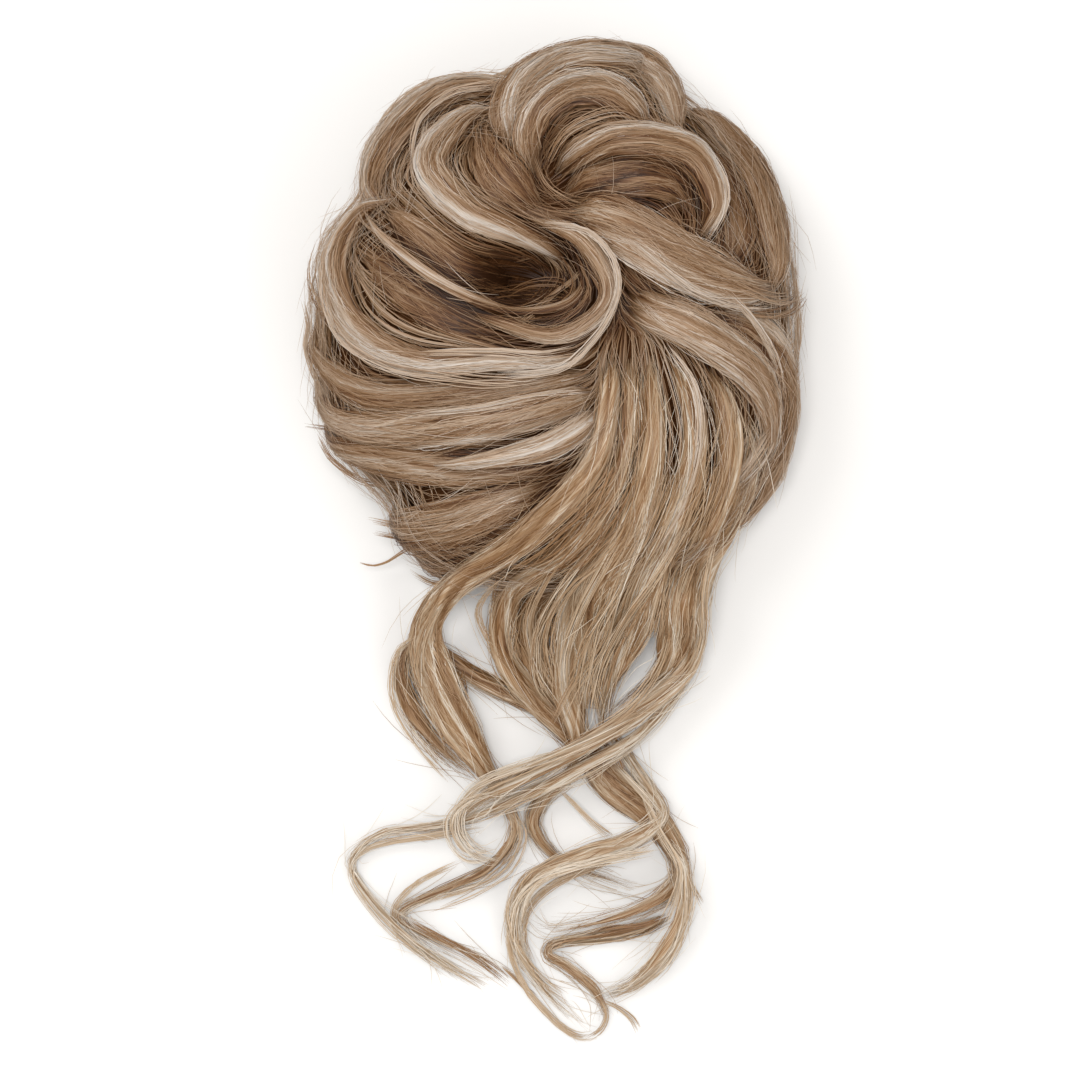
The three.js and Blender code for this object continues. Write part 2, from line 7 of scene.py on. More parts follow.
import bpy
import numpy as np
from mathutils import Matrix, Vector


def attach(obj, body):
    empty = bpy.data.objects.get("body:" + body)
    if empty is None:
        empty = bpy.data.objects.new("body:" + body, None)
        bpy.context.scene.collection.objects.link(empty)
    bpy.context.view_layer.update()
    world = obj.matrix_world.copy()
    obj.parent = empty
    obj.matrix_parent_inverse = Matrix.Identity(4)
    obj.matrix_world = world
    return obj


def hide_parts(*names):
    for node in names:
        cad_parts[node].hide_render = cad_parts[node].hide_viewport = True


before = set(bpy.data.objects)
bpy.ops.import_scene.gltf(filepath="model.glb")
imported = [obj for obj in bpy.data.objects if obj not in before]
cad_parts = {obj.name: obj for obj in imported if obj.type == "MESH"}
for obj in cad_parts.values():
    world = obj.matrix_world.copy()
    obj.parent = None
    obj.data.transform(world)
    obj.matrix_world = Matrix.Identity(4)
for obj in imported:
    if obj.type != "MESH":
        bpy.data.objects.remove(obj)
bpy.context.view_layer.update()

MM = 0.001
rng = np.random.default_rng(20714)

# ---------------------------------------------------------------- the camera
# Straight above the piece, as in the photograph. PX is the millimetres of floor that one
# photograph pixel covers; CENTRE is the point of the floor at the middle of the picture.
PX = 0.295
CAMERA_HEIGHT = 1195.0
CENTRE = ((540.0 - 553.0) * PX, (318.0 - 540.0) * PX)
cam_data = bpy.data.cameras.new("camera")
cam_data.type = "PERSP"
cam_data.sensor_width = 36.0
cam_data.lens = 36.0 * CAMERA_HEIGHT / (1080.0 * PX)
cam_data.clip_start, cam_data.clip_end = 0.05, 20.0
camera = bpy.data.objects.new("camera", cam_data)
camera.location = (CENTRE[0] * MM, CENTRE[1] * MM, CAMERA_HEIGHT * MM)
camera.rotation_euler = (0.0, 0.0, 0.0)
bpy.context.scene.collection.objects.link(camera)
bpy.context.scene.camera = camera

# ---------------------------------------------------------------- the bun's surface
BELT_Z, CROWN_RISE, CROWN_POWER = 22.0, 30.0, 2.4
DIPS = [(-2.3, 8.9, 11.0, 8.0, 17.0), (2.7, 39.2, 6.0, 6.0, 8.0)]
OUTLINE_ROWS = np.array([
    (0, 69.9), (40, 70.5), (61, 73.4), (80, 76.8), (90, 73.9), (105, 69.9), (118, 72.2), (131, 71.9),
    (149, 65.3), (164, 69.6), (180, 69.9), (196, 71.1), (212, 73.4), (227, 72.8), (241, 80.3), (254, 80.3),
    (270, 79.7), (301, 80.3), (315, 79.1), (326, 76.2), (343, 71.6), (360, 69.9)])


def outline(deg):
    a = np.mod(deg, 360.0)
    i = np.clip(np.searchsorted(OUTLINE_ROWS[:, 0], a, side="left"), 1, len(OUTLINE_ROWS) - 1)
    a0, r0 = OUTLINE_ROWS[i - 1, 0], OUTLINE_ROWS[i - 1, 1]
    a1, r1 = OUTLINE_ROWS[i, 0], OUTLINE_ROWS[i, 1]
    t = (a - a0) / (a1 - a0)
    return r0 + (r1 - r0) * t * t * (3 - 2 * t)


def crown(x, y):
    rho = np.minimum(np.hypot(x, y) / outline(np.degrees(np.arctan2(y, x))), 1.0)
    z = BELT_Z + CROWN_RISE * np.sqrt(np.maximum(0.0, 1 - rho ** CROWN_POWER))
    for dx, dy, rx, ry, depth in DIPS:
        z = z - depth * np.exp(-((x - dx) ** 2) / (2 * rx ** 2) - (y - dy) ** 2 / (2 * ry ** 2))
    return z


def outward(x, y):
    d = 1.5
    n = np.stack([(crown(x - d, y) - crown(x + d, y)) / (2 * d),
                  (crown(x, y - d) - crown(x, y + d)) / (2 * d), np.ones_like(x)], -1)
    flat = np.hypot(n[..., 0], n[..., 1])
    k = np.where(flat > 2.2, 2.2 / np.maximum(flat, 1e-9), 1.0)
    n[..., 0] *= k
    n[..., 1] *= k
    return n / np.linalg.norm(n, axis=-1, keepdims=True)

# Every lock's route, as its solid has it. bun: x, y, height of its middle over the crown, width,
# thickness. free: x, y, z, width, thickness, off the bun.
LOCKS = {
    "centre_curl": dict(
        bun=[(-54.0, 28.1, 5, 2.4, 4), (-47.7, 20.0, 6, 2.9, 4), (-29.7, 6.0, 5, 3.2, 5), (-10.9, -1.5, 2, 2.4, 4), (5.2, 1.4, 3, 2.4, 4), (8.4, 6.6, 3, 2.1, 3.5), (7.5, 12.3, 3, 1.8, 3.5)],
    ),
    "centre_swirl": dict(
        bun=[(-6.7, 25.4, 0, 2.1, 3.5), (7.4, 20.1, 7, 4.4, 6), (15.6, 6.5, 9, 5.0, 6), (14.1, -0.6, 8, 5.0, 6), (0.9, -8.4, 5, 4.4, 6), (-22.5, -1.4, 1.5, 2.4, 4)],
    ),
    "left_sweep_pale": dict(
        bun=[(13.7, -27.8, -4, 4.1, 5), (6.9, -34.2, 4, 7.1, 6), (-2.4, -39.3, 7, 7.7, 7), (-25.0, -43.5, 5, 3.5, 5), (-34.5, -44.5, 3, 2.4, 4)],
    ),
    "right_curl": dict(
        bun=[(54.7, -28.2, -7, 4.7, 6), (57.3, -38.5, -4, 7.1, 7), (55.5, -50.5, -3, 7.7, 7), (50.7, -61.7, -2, 7.7, 7), (44.9, -73.0, -3, 7.7, 7)],
        free=[(41.5, -83.4, 24.0, 7.7, 7), (41.3, -93.4, 16.0, 7.7, 7), (38.8, -102.8, 13.0, 7.7, 6), (23.8, -115.9, 15.5, 7.7, 5), (8.7, -125.3, 18.5, 6.5, 5), (-7.9, -134.7, 12.5, 5.3, 5), (-24.0, -143.4, 9.0, 4.1, 4), (-27.9, -149.3, 7.5, 3.5, 4), (-21.1, -158.5, 7.0, 2.4, 3), (-15.9, -158.5, 7.0, 1.5, 2.5)],
    ),
    "left_loop": dict(
        bun=[(-46.1, 32.1, 0, 4.9, 5), (-53.6, 29.4, 3, 7.1, 6), (-62.6, 13.9, 4, 9.2, 7), (-57.2, -4.4, 4, 10.6, 7), (-39.2, -15.2, 2, 7.8, 6), (-15.1, -15.0, 2, 5.3, 6), (5.8, -14.7, 0, 4.2, 5), (10.9, -10.5, -4, 3.2, 4)],
    ),
    "upper_left_lock": dict(
        bun=[(-14.1, 57.1, -5, 6.8, 6), (-24.9, 55.1, 1, 8.9, 7), (-35.0, 40.7, 5, 10.1, 8), (-24.1, 26.6, 5, 8.5, 7), (-13.7, 22.5, 4, 6.8, 6), (1.0, 16.4, 2, 3.7, 5), (3.6, 11.6, 0, 2.8, 4)],
    ),
    "right_sweep": dict(
        bun=[(4.1, 27.8, -6, 9.5, 6), (13.1, 26.0, 1, 14.9, 7), (23.2, 20.7, 4, 17.6, 8), (34.5, 13.8, 4, 17.6, 8), (46.0, 8.1, 3, 15.6, 8), (56.5, 5.7, 1, 12.2, 7), (64.5, 7.4, -2, 8.2, 6)],
    ),
    "right_loop": dict(
        bun=[(0.7, 38.7, -6, 6.8, 6), (8.7, 45.2, 1, 8.9, 7), (18.8, 47.9, 5, 10.1, 8), (39.2, 43.6, 7, 10.1, 8), (45.5, 28.6, 4, 6.1, 7), (41.6, 20.5, 0, 4.0, 5)],
    ),
    "lower_right_sweep": dict(
        bun=[(19.5, 5.7, -7, 6.4, 6), (27.3, -0.2, 0, 10.6, 7), (37.1, -4.6, 4, 12.7, 8), (55.9, -17.5, 3, 11.3, 8), (61.1, -26.0, 1, 9.2, 7), (62.2, -35.6, -1, 7.8, 6), (59.7, -45.3, -4, 5.6, 5)],
    ),
    "fall_mid_curl": dict(
        bun=[(21.7, -12.6, -7, 4.1, 6), (21.6, -24.8, -1, 5.9, 7), (20.8, -37.2, 1, 6.5, 7), (17.7, -49.1, 2, 7.1, 8), (11.5, -59.8, 2, 7.7, 8), (3.0, -68.6, 1, 7.7, 8)],
        free=[(-5.8, -75.0, 31.0, 8.3, 7), (-12.8, -81.7, 21.0, 8.3, 7), (-15.0, -97.7, 10.0, 8.0, 6), (-5.3, -112.5, 6.0, 8.3, 5), (7.0, -124.8, 5.0, 7.7, 5), (17.3, -137.2, 4.0, 10.6, 5), (29.7, -147.3, 3.6, 9.4, 5), (37.3, -160.8, 3.8, 6.5, 5), (35.5, -167.2, 4.5, 5.9, 5), (22.0, -175.0, 6.0, 4.7, 4.5), (4.4, -179.8, 5.0, 4.1, 4), (-2.1, -180.2, 4.0, 2.9, 4), (-9.7, -172.4, 2.2, 1.5, 3)],
    ),
    "fall_left_curl": dict(
        bun=[(16.6, -11.5, -7, 4.7, 6), (16.2, -22.5, -1, 7.1, 7), (10.9, -44.6, 3, 8.8, 8), (-6.1, -62.9, 2, 9.4, 8), (-16.1, -69.8, 0, 9.4, 8)],
        free=[(-25.2, -76.1, 28.0, 8.8, 7), (-32.9, -83.5, 18.0, 8.8, 7), (-36.8, -91.2, 12.0, 9.4, 7), (-36.6, -99.4, 10.0, 11.2, 6), (-30.2, -115.8, 9.5, 12.4, 6), (-20.9, -131.8, 6.0, 7.7, 5), (-12.4, -145.5, 3.5, 4.1, 4), (-11.5, -152.0, 3.5, 4.1, 4), (-19.7, -162.9, 3.0, 3.5, 4), (-28.0, -167.0, 2.6, 3.2, 4), (-45.9, -176.2, 2.2, 2.7, 3.5), (-35.6, -183.0, 2.2, 3.8, 3.5), (-19.1, -190.9, 2.0, 2.7, 3), (-13.6, -195.1, 1.5, 1.2, 2.5)],
    ),
    "fall_centre_curl": dict(
        bun=[(26.9, -12.0, -7, 4.7, 6), (27.9, -24.4, -1, 7.1, 7), (27.9, -37.2, 1, 8.3, 8), (25.9, -49.9, 2, 9.4, 8), (21.8, -62.6, 2, 11.2, 8)],
        free=[(15.0, -74.6, 36.0, 15.9, 8), (10.0, -86.3, 26.0, 17.1, 8), (4.9, -107.4, 15.0, 11.2, 6), (6.7, -131.0, 9.5, 4.7, 5), (-3.5, -142.8, 4.0, 5.3, 5), (-5.9, -149.0, 3.4, 5.3, 5), (1.5, -159.7, 2.6, 4.1, 4), (18.2, -166.2, 2.4, 5.3, 4), (30.0, -170.9, 2.2, 1.8, 3)],
    ),
    "fall_right_curl": dict(
        bun=[(33.2, -12.6, -7, 4.7, 6), (37.9, -23.2, -2, 7.1, 7), (40.2, -34.6, 0, 8.3, 8), (39.1, -46.2, 1, 8.8, 8), (34.6, -57.5, 1, 9.4, 8), (29.4, -68.4, 0, 10.0, 8)],
        free=[(26.0, -79.8, 32.0, 11.2, 7), (22.8, -90.4, 23.0, 11.2, 7), (18.6, -99.8, 17.0, 9.4, 6), (14.6, -117.0, 10.0, 4.7, 5), (17.4, -130.2, 3.0, 2.4, 4)],
    ),
    "far_left_curl": dict(
        free=[(40.8, -97.2, 6.0, 2.1, 3.5), (38.4, -106.5, 7.5, 3.2, 4), (26.3, -121.0, 11.5, 4.7, 4.5), (8.1, -132.0, 13.0, 5.3, 4.5), (-11.7, -142.0, 8.0, 4.4, 4), (-30.9, -149.0, 3.5, 3.5, 4), (-50.9, -152.0, 2.8, 2.9, 3.5), (-59.8, -160.3, 2.4, 2.1, 2.5), (-56.5, -167.1, 2.4, 1.8, 2.5), (-45.2, -179.4, 6.2, 1.8, 2.5), (-28.9, -192.1, 2.2, 1.8, 2.5), (-13.6, -197.8, 1.5, 0.9, 2)],
    ),
    "bottom_coil": dict(
        free=[(17.4, -122.6, 2.4, 2.4, 3.5), (25.8, -134.8, 5.0, 3.5, 4), (31.9, -145.9, 10.0, 4.7, 4), (20.1, -154.6, 11.0, 7.1, 4.5), (10.2, -157.9, 10.0, 7.7, 4.5), (-8.2, -166.7, 7.0, 5.3, 4), (-11.2, -182.5, 4.0, 3.8, 4), (-3.2, -197.4, 2.5, 2.7, 3), (10.9, -209.8, 1.6, 1.2, 2.5)],
    ),
    "bottom_right_curl": dict(
        free=[(33.6, -153.3, 9.0, 1.8, 3), (38.0, -160.9, 10.0, 2.9, 3.5), (36.1, -178.8, 6.0, 5.0, 3.5), (25.0, -194.7, 3.0, 5.0, 3.5), (11.5, -201.0, 2.0, 1.5, 2.5)],
    ),
    "inner_curl": dict(
        bun=[(16.9, -67.8, -9, 4.1, 5)],
        free=[(9.1, -74.7, 27.0, 8.3, 6), (-4.7, -84.1, 14.0, 10.6, 6), (-5.9, -99.2, 8.0, 9.4, 5), (-1.8, -107.2, 6.5, 7.7, 5), (12.6, -127.7, 6.0, 2.4, 3)],
    ),
    "fall_outer_curl": dict(
        bun=[(43.5, -15.3, -7, 5.3, 6), (48.3, -25.6, -3, 7.7, 7), (50.4, -37.5, -1, 8.8, 7), (49.0, -49.5, 0, 8.8, 7), (44.6, -60.6, 0, 9.4, 7), (39.9, -71.3, -1, 9.4, 7)],
        free=[(36.2, -82.8, 28.0, 10.9, 7), (35.1, -93.4, 19.0, 10.6, 7), (32.3, -102.8, 13.0, 8.3, 6), (15.0, -119.0, 3.0, 2.4, 4)],
    ),
    "left_sweep_middle": dict(
        bun=[(13.8, -24.0, -6, 6.5, 6), (1.8, -27.1, 0, 10.0, 7), (-12.3, -31.1, 2, 11.8, 8), (-26.5, -33.3, 2, 11.8, 8), (-40.7, -33.7, 1, 11.2, 8), (-53.8, -33.2, 0, 10.0, 7), (-61.9, -30.7, -1, 8.3, 6), (-66.1, -24.1, -7.6, 7.1, 6), (-67.3, -19.3, -14.6, 5.9, 5), (-66.7, -15.4, -24.6, 3.8, 5)],
    ),
    "left_sweep_lower": dict(
        bun=[(5.3, -41.6, -6, 5.8, 6), (-6.7, -43.9, -3, 9.1, 6), (-20.9, -44.8, -2, 11.0, 7), (-35.1, -44.1, -1, 12.3, 7), (-57.9, -39.3, -1, 9.1, 6), (-62.8, -36.6, -2, 7.8, 5), (-64.3, -31.4, -12.6, 6.2, 5), (-63.0, -29.4, -24.2, 4.2, 4.5)],
    ),
    "left_sweep_upper": dict(
        bun=[(10.4, -18.4, -6, 5.8, 6), (-1.0, -21.1, -2, 7.8, 6), (-27.9, -25.0, -1, 9.7, 7), (-54.6, -23.3, -1, 9.1, 7), (-68.4, -10.7, -1, 5.2, 5), (-69.5, -2.5, -2, 3.2, 4)],
    ),
    "crown_loop_inner": dict(
        bun=[(-5.0, 37.8, -6, 6.8, 6), (-7.8, 47.6, -1, 8.9, 6), (-3.8, 57.0, 4, 10.8, 7), (5.2, 62.3, 5, 12.2, 7), (14.9, 61.7, 5, 12.2, 7), (22.3, 56.1, 3, 10.8, 7), (27.0, 48.6, -3, 8.9, 6)],
    ),
    "crown_loop_outer": dict(
        bun=[(-11.8, 45.1, -5, 8.7, 6), (-13.8, 54.7, 0, 10.7, 7), (-9.5, 64.2, 2, 12.2, 8), (0.8, 71.7, 2, 12.9, 8), (13.4, 73.5, 2, 12.9, 8), (25.1, 71.9, 1, 12.9, 8), (32.1, 64.0, 0, 12.9, 8), (35.1, 55.4, -2, 11.5, 7), (36.3, 47.7, -6, 9.4, 6)],
    ),
    "right_rim": dict(
        bun=[(36.7, 58.3, -10, 6.1, 5), (40.7, 58.2, -5, 10.0, 6), (47.2, 54.5, -1, 13.0, 7), (54.7, 45.4, 0, 15.3, 8), (60.1, 33.9, 0, 16.1, 8), (63.9, 12.0, -1, 13.0, 7), (61.5, 3.3, -4, 10.0, 6)],
    ),
    "right_rim_inner": dict(
        bun=[(42.2, 49.1, -7, 8.5, 5), (48.4, 41.9, -4, 13.0, 6), (52.8, 20.3, -4, 14.6, 6), (50.4, 12.2, -5, 10.8, 5)],
    ),
    "upper_left_rim": dict(
        bun=[(-9.0, 62.5, -5, 9.2, 6), (-21.1, 64.6, -1, 13.0, 7), (-33.5, 61.7, 0, 15.3, 8), (-49.8, 44.1, 1, 16.1, 8), (-51.8, 34.5, -1, 13.8, 7), (-47.9, 26.2, -5, 9.2, 6)],
    ),
    "upper_left_fan": dict(
        bun=[(-21.0, 54.8, -5, 10.0, 6), (-18.9, 46.3, -2, 15.6, 7), (-15.2, 38.3, -1, 17.0, 7), (-9.2, 31.3, -3, 13.4, 6), (-2.4, 26.5, -7, 7.8, 5)],
    ),
    "right_loop_fill": dict(
        bun=[(2.4, 32.7, -7, 9.5, 6), (13.2, 37.3, -2, 13.6, 6), (25.9, 38.3, 0, 14.9, 6), (35.4, 35.1, -1, 13.6, 6), (40.0, 27.9, -3, 9.5, 6)],
    ),
    "petal_lock": dict(
        bun=[(-49.1, 29.5, -2, 7.8, 6), (-43.1, 25.0, 0, 12.0, 7), (-27.0, 11.5, 0, 11.3, 7), (-17.5, 8.9, -4, 9.2, 6), (-10.7, 8.9, -7, 6.4, 5)],
    ),
    "left_loop_fill": dict(
        bun=[(-56.6, 17.0, -5, 10.4, 6), (-48.9, 13.2, -4, 16.2, 6), (-28.8, -0.2, -5, 16.2, 6), (-10.7, -9.7, -8, 7.4, 5)],
    ),
    "nape_lock": dict(
        bun=[(0.7, -49.5, -8, 6.5, 6), (-9.5, -54.1, -4, 11.7, 7), (-20.4, -58.4, -3, 16.3, 8), (-31.9, -61.5, -3, 17.5, 8), (-41.9, -62.6, -4, 15.0, 7), (-44.9, -59.6, -11.6, 11.7, 6), (-45.7, -54.5, -23.5, 7.2, 5)],
    ),
    "nape_under_lock": dict(
        bun=[(-3.8, -59.8, -9, 5.8, 6), (-13.0, -67.2, -7, 11.0, 7), (-24.0, -71.3, -6, 13.0, 7), (-34.6, -72.2, -5, 11.0, 6), (-38.3, -69.1, -14.8, 9.1, 6), (-40.4, -64.6, -25.7, 5.5, 5)],
    ),
    "right_side_lock": dict(
        bun=[(42.9, 0.0, -6, 7.4, 6), (53.8, -3.3, -3, 11.0, 7), (62.6, -10.5, -2, 13.2, 7), (66.4, -21.1, -1, 12.5, 7), (66.1, -32.6, -1, 12.5, 7), (62.9, -44.6, -2, 11.8, 7), (56.0, -56.2, -3, 10.4, 6), (46.7, -66.1, -4, 8.1, 6)],
    ),
    "left_back_curl": dict(
        free=[(0.9, -117.3, 2.4, 2.4, 3), (-6.8, -114.3, 2.8, 5.3, 4.5), (-23.0, -105.8, 3.0, 5.9, 5), (-36.8, -97.0, 3.0, 5.9, 5), (-42.1, -97.3, 3.2, 4.7, 6), (-45.0, -101.4, 3.5, 5.3, 6), (-41.8, -114.9, 3.3, 7.1, 5.5), (-32.1, -127.6, 2.8, 6.5, 4.5), (-21.5, -136.7, 2.2, 2.9, 3.5)],
    ),
    "bottom_centre_curl": dict(
        free=[(34.5, -176.2, 2.0, 1.8, 2.5), (26.2, -180.0, 2.2, 3.2, 3), (-1.2, -185.3, 2.2, 2.4, 3), (-1.5, -188.0, 2.2, 2.4, 3), (3.5, -190.9, 2.2, 3.2, 3), (14.1, -201.0, 2.0, 2.4, 3), (15.6, -207.5, 1.5, 1.2, 2.5)],
    ),
}
# Side locks: start angle, span, z at start and end, width, share of the outline at start and end.
SIDE_LOCKS = {
    "side_lock_1": (-8, 52, 9, 27, 15, 0.9, 0.9), "side_lock_2": (36, 52, 10, 28, 15, 0.9, 0.9),
    "side_lock_3": (80, 50, 9, 26, 15, 0.9, 0.9), "side_lock_4": (122, 50, 10, 26, 15, 0.9, 0.9),
    "side_lock_5": (166, 48, 9, 24, 15, 0.9, 0.9), "side_lock_6": (208, 46, 8, 20, 14, 0.9, 0.88),
    "side_lock_7": (300, 54, 8, 24, 14, 0.86, 0.9),
}
# How pale each lock is: its left edge, middle and right edge, looking along it, from 0 (deep)
# to 1 (pale); this is partly the hair's own streaks and partly painted light, a painted highlight
# on edges that face out and painted shade on sides that face a hollow. Then strands, share of a
# turn that they wind round each other, and frizz. Two more values say from which share of the
# length to which a pale edge comes in.
LOOKS = {
    "crown_loop_outer": (0.54, 0.6, 0.76, 190, 0.1, 1.0),
    "crown_loop_inner": (0.78, 0.52, 0.34, 150, 0.1, 1.0, 0.15, 0.55),
    "right_loop": (0.88, 0.5, 0.36, 150, 0.08, 0.8, 0.35, 0.7),
    "right_loop_fill": (0.44, 0.36, 0.28, 150, 0.05, 0.8),
    "right_sweep": (0.44, 0.5, 0.82, 190, 0.08, 0.8, 0.0, 0.5),
    "right_rim": (0.8, 0.48, 0.38, 170, 0.08, 1.2),
    "right_rim_inner": (0.4, 0.34, 0.3, 120, 0.05, 1.0),
    "lower_right_sweep": (0.52, 0.54, 0.7, 170, 0.08, 0.8),
    "right_side_lock": (0.8, 0.5, 0.42, 170, 0.08, 1.2),
    "upper_left_rim": (0.46, 0.58, 0.86, 170, 0.08, 1.2),
    "upper_left_lock": (0.46, 0.7, 0.8, 150, 0.08, 0.8, 0.1, 0.4),
    "upper_left_fan": (0.32, 0.38, 0.3, 130, 0.05, 0.8),
    "left_loop": (0.46, 0.66, 0.794, 150, 0.1, 1.2),
    "left_loop_fill": (0.34, 0.4, 0.34, 150, 0.05, 1.0),
    "petal_lock": (0.44, 0.44, 0.24, 130, 0.06, 0.8),
    "centre_curl": (0.6, 0.66, 0.6, 60, 0.1, 0.6),
    "centre_swirl": (0.7, 0.48, 0.26, 110, 0.1, 0.8),
    "left_sweep_upper": (0.5, 0.46, 0.54, 150, 0.06, 1.0),
    "left_sweep_middle": (0.6, 0.66, 0.46, 200, 0.06, 0.8),
    "left_sweep_pale": (0.7, 0.782, 0.66, 90, 0.05, 0.5),
    "left_sweep_lower": (0.5, 0.56, 0.44, 160, 0.06, 1.0),
    "nape_lock": (0.46, 0.5, 0.42, 190, 0.04, 1.4),
    "nape_under_lock": (0.38, 0.42, 0.36, 130, 0.04, 1.4),
    "fall_left_curl": (0.69, 0.59, 0.61, 150, 0.45, 1.35),
    "fall_mid_curl": (0.65, 0.59, 0.59, 130, 0.4, 1.35),
    "fall_centre_curl": (0.67, 0.63, 0.63, 150, 0.35, 1.35),
    "fall_right_curl": (0.67, 0.739, 0.63, 130, 0.25, 0.8),
    "fall_outer_curl": (0.61, 0.61, 0.57, 130, 0.25, 0.9),
    "inner_curl": (0.47, 0.49, 0.51, 90, 0.3, 0.8),
    "right_curl": (0.8, 0.74, 0.74, 110, 0.5, 1.35),
    "far_left_curl": (0.82, 0.78, 0.78, 70, 0.5, 1.5),
    "left_back_curl": (0.56, 0.5, 0.5, 90, 0.5, 1.35),
    "bottom_coil": (0.82, 0.74, 0.78, 90, 0.5, 1.5),
    "bottom_right_curl": (0.8, 0.78, 0.76, 60, 0.3, 1.5),
    "bottom_centre_curl": (0.62, 0.6, 0.6, 60, 0.4, 1.5),
}
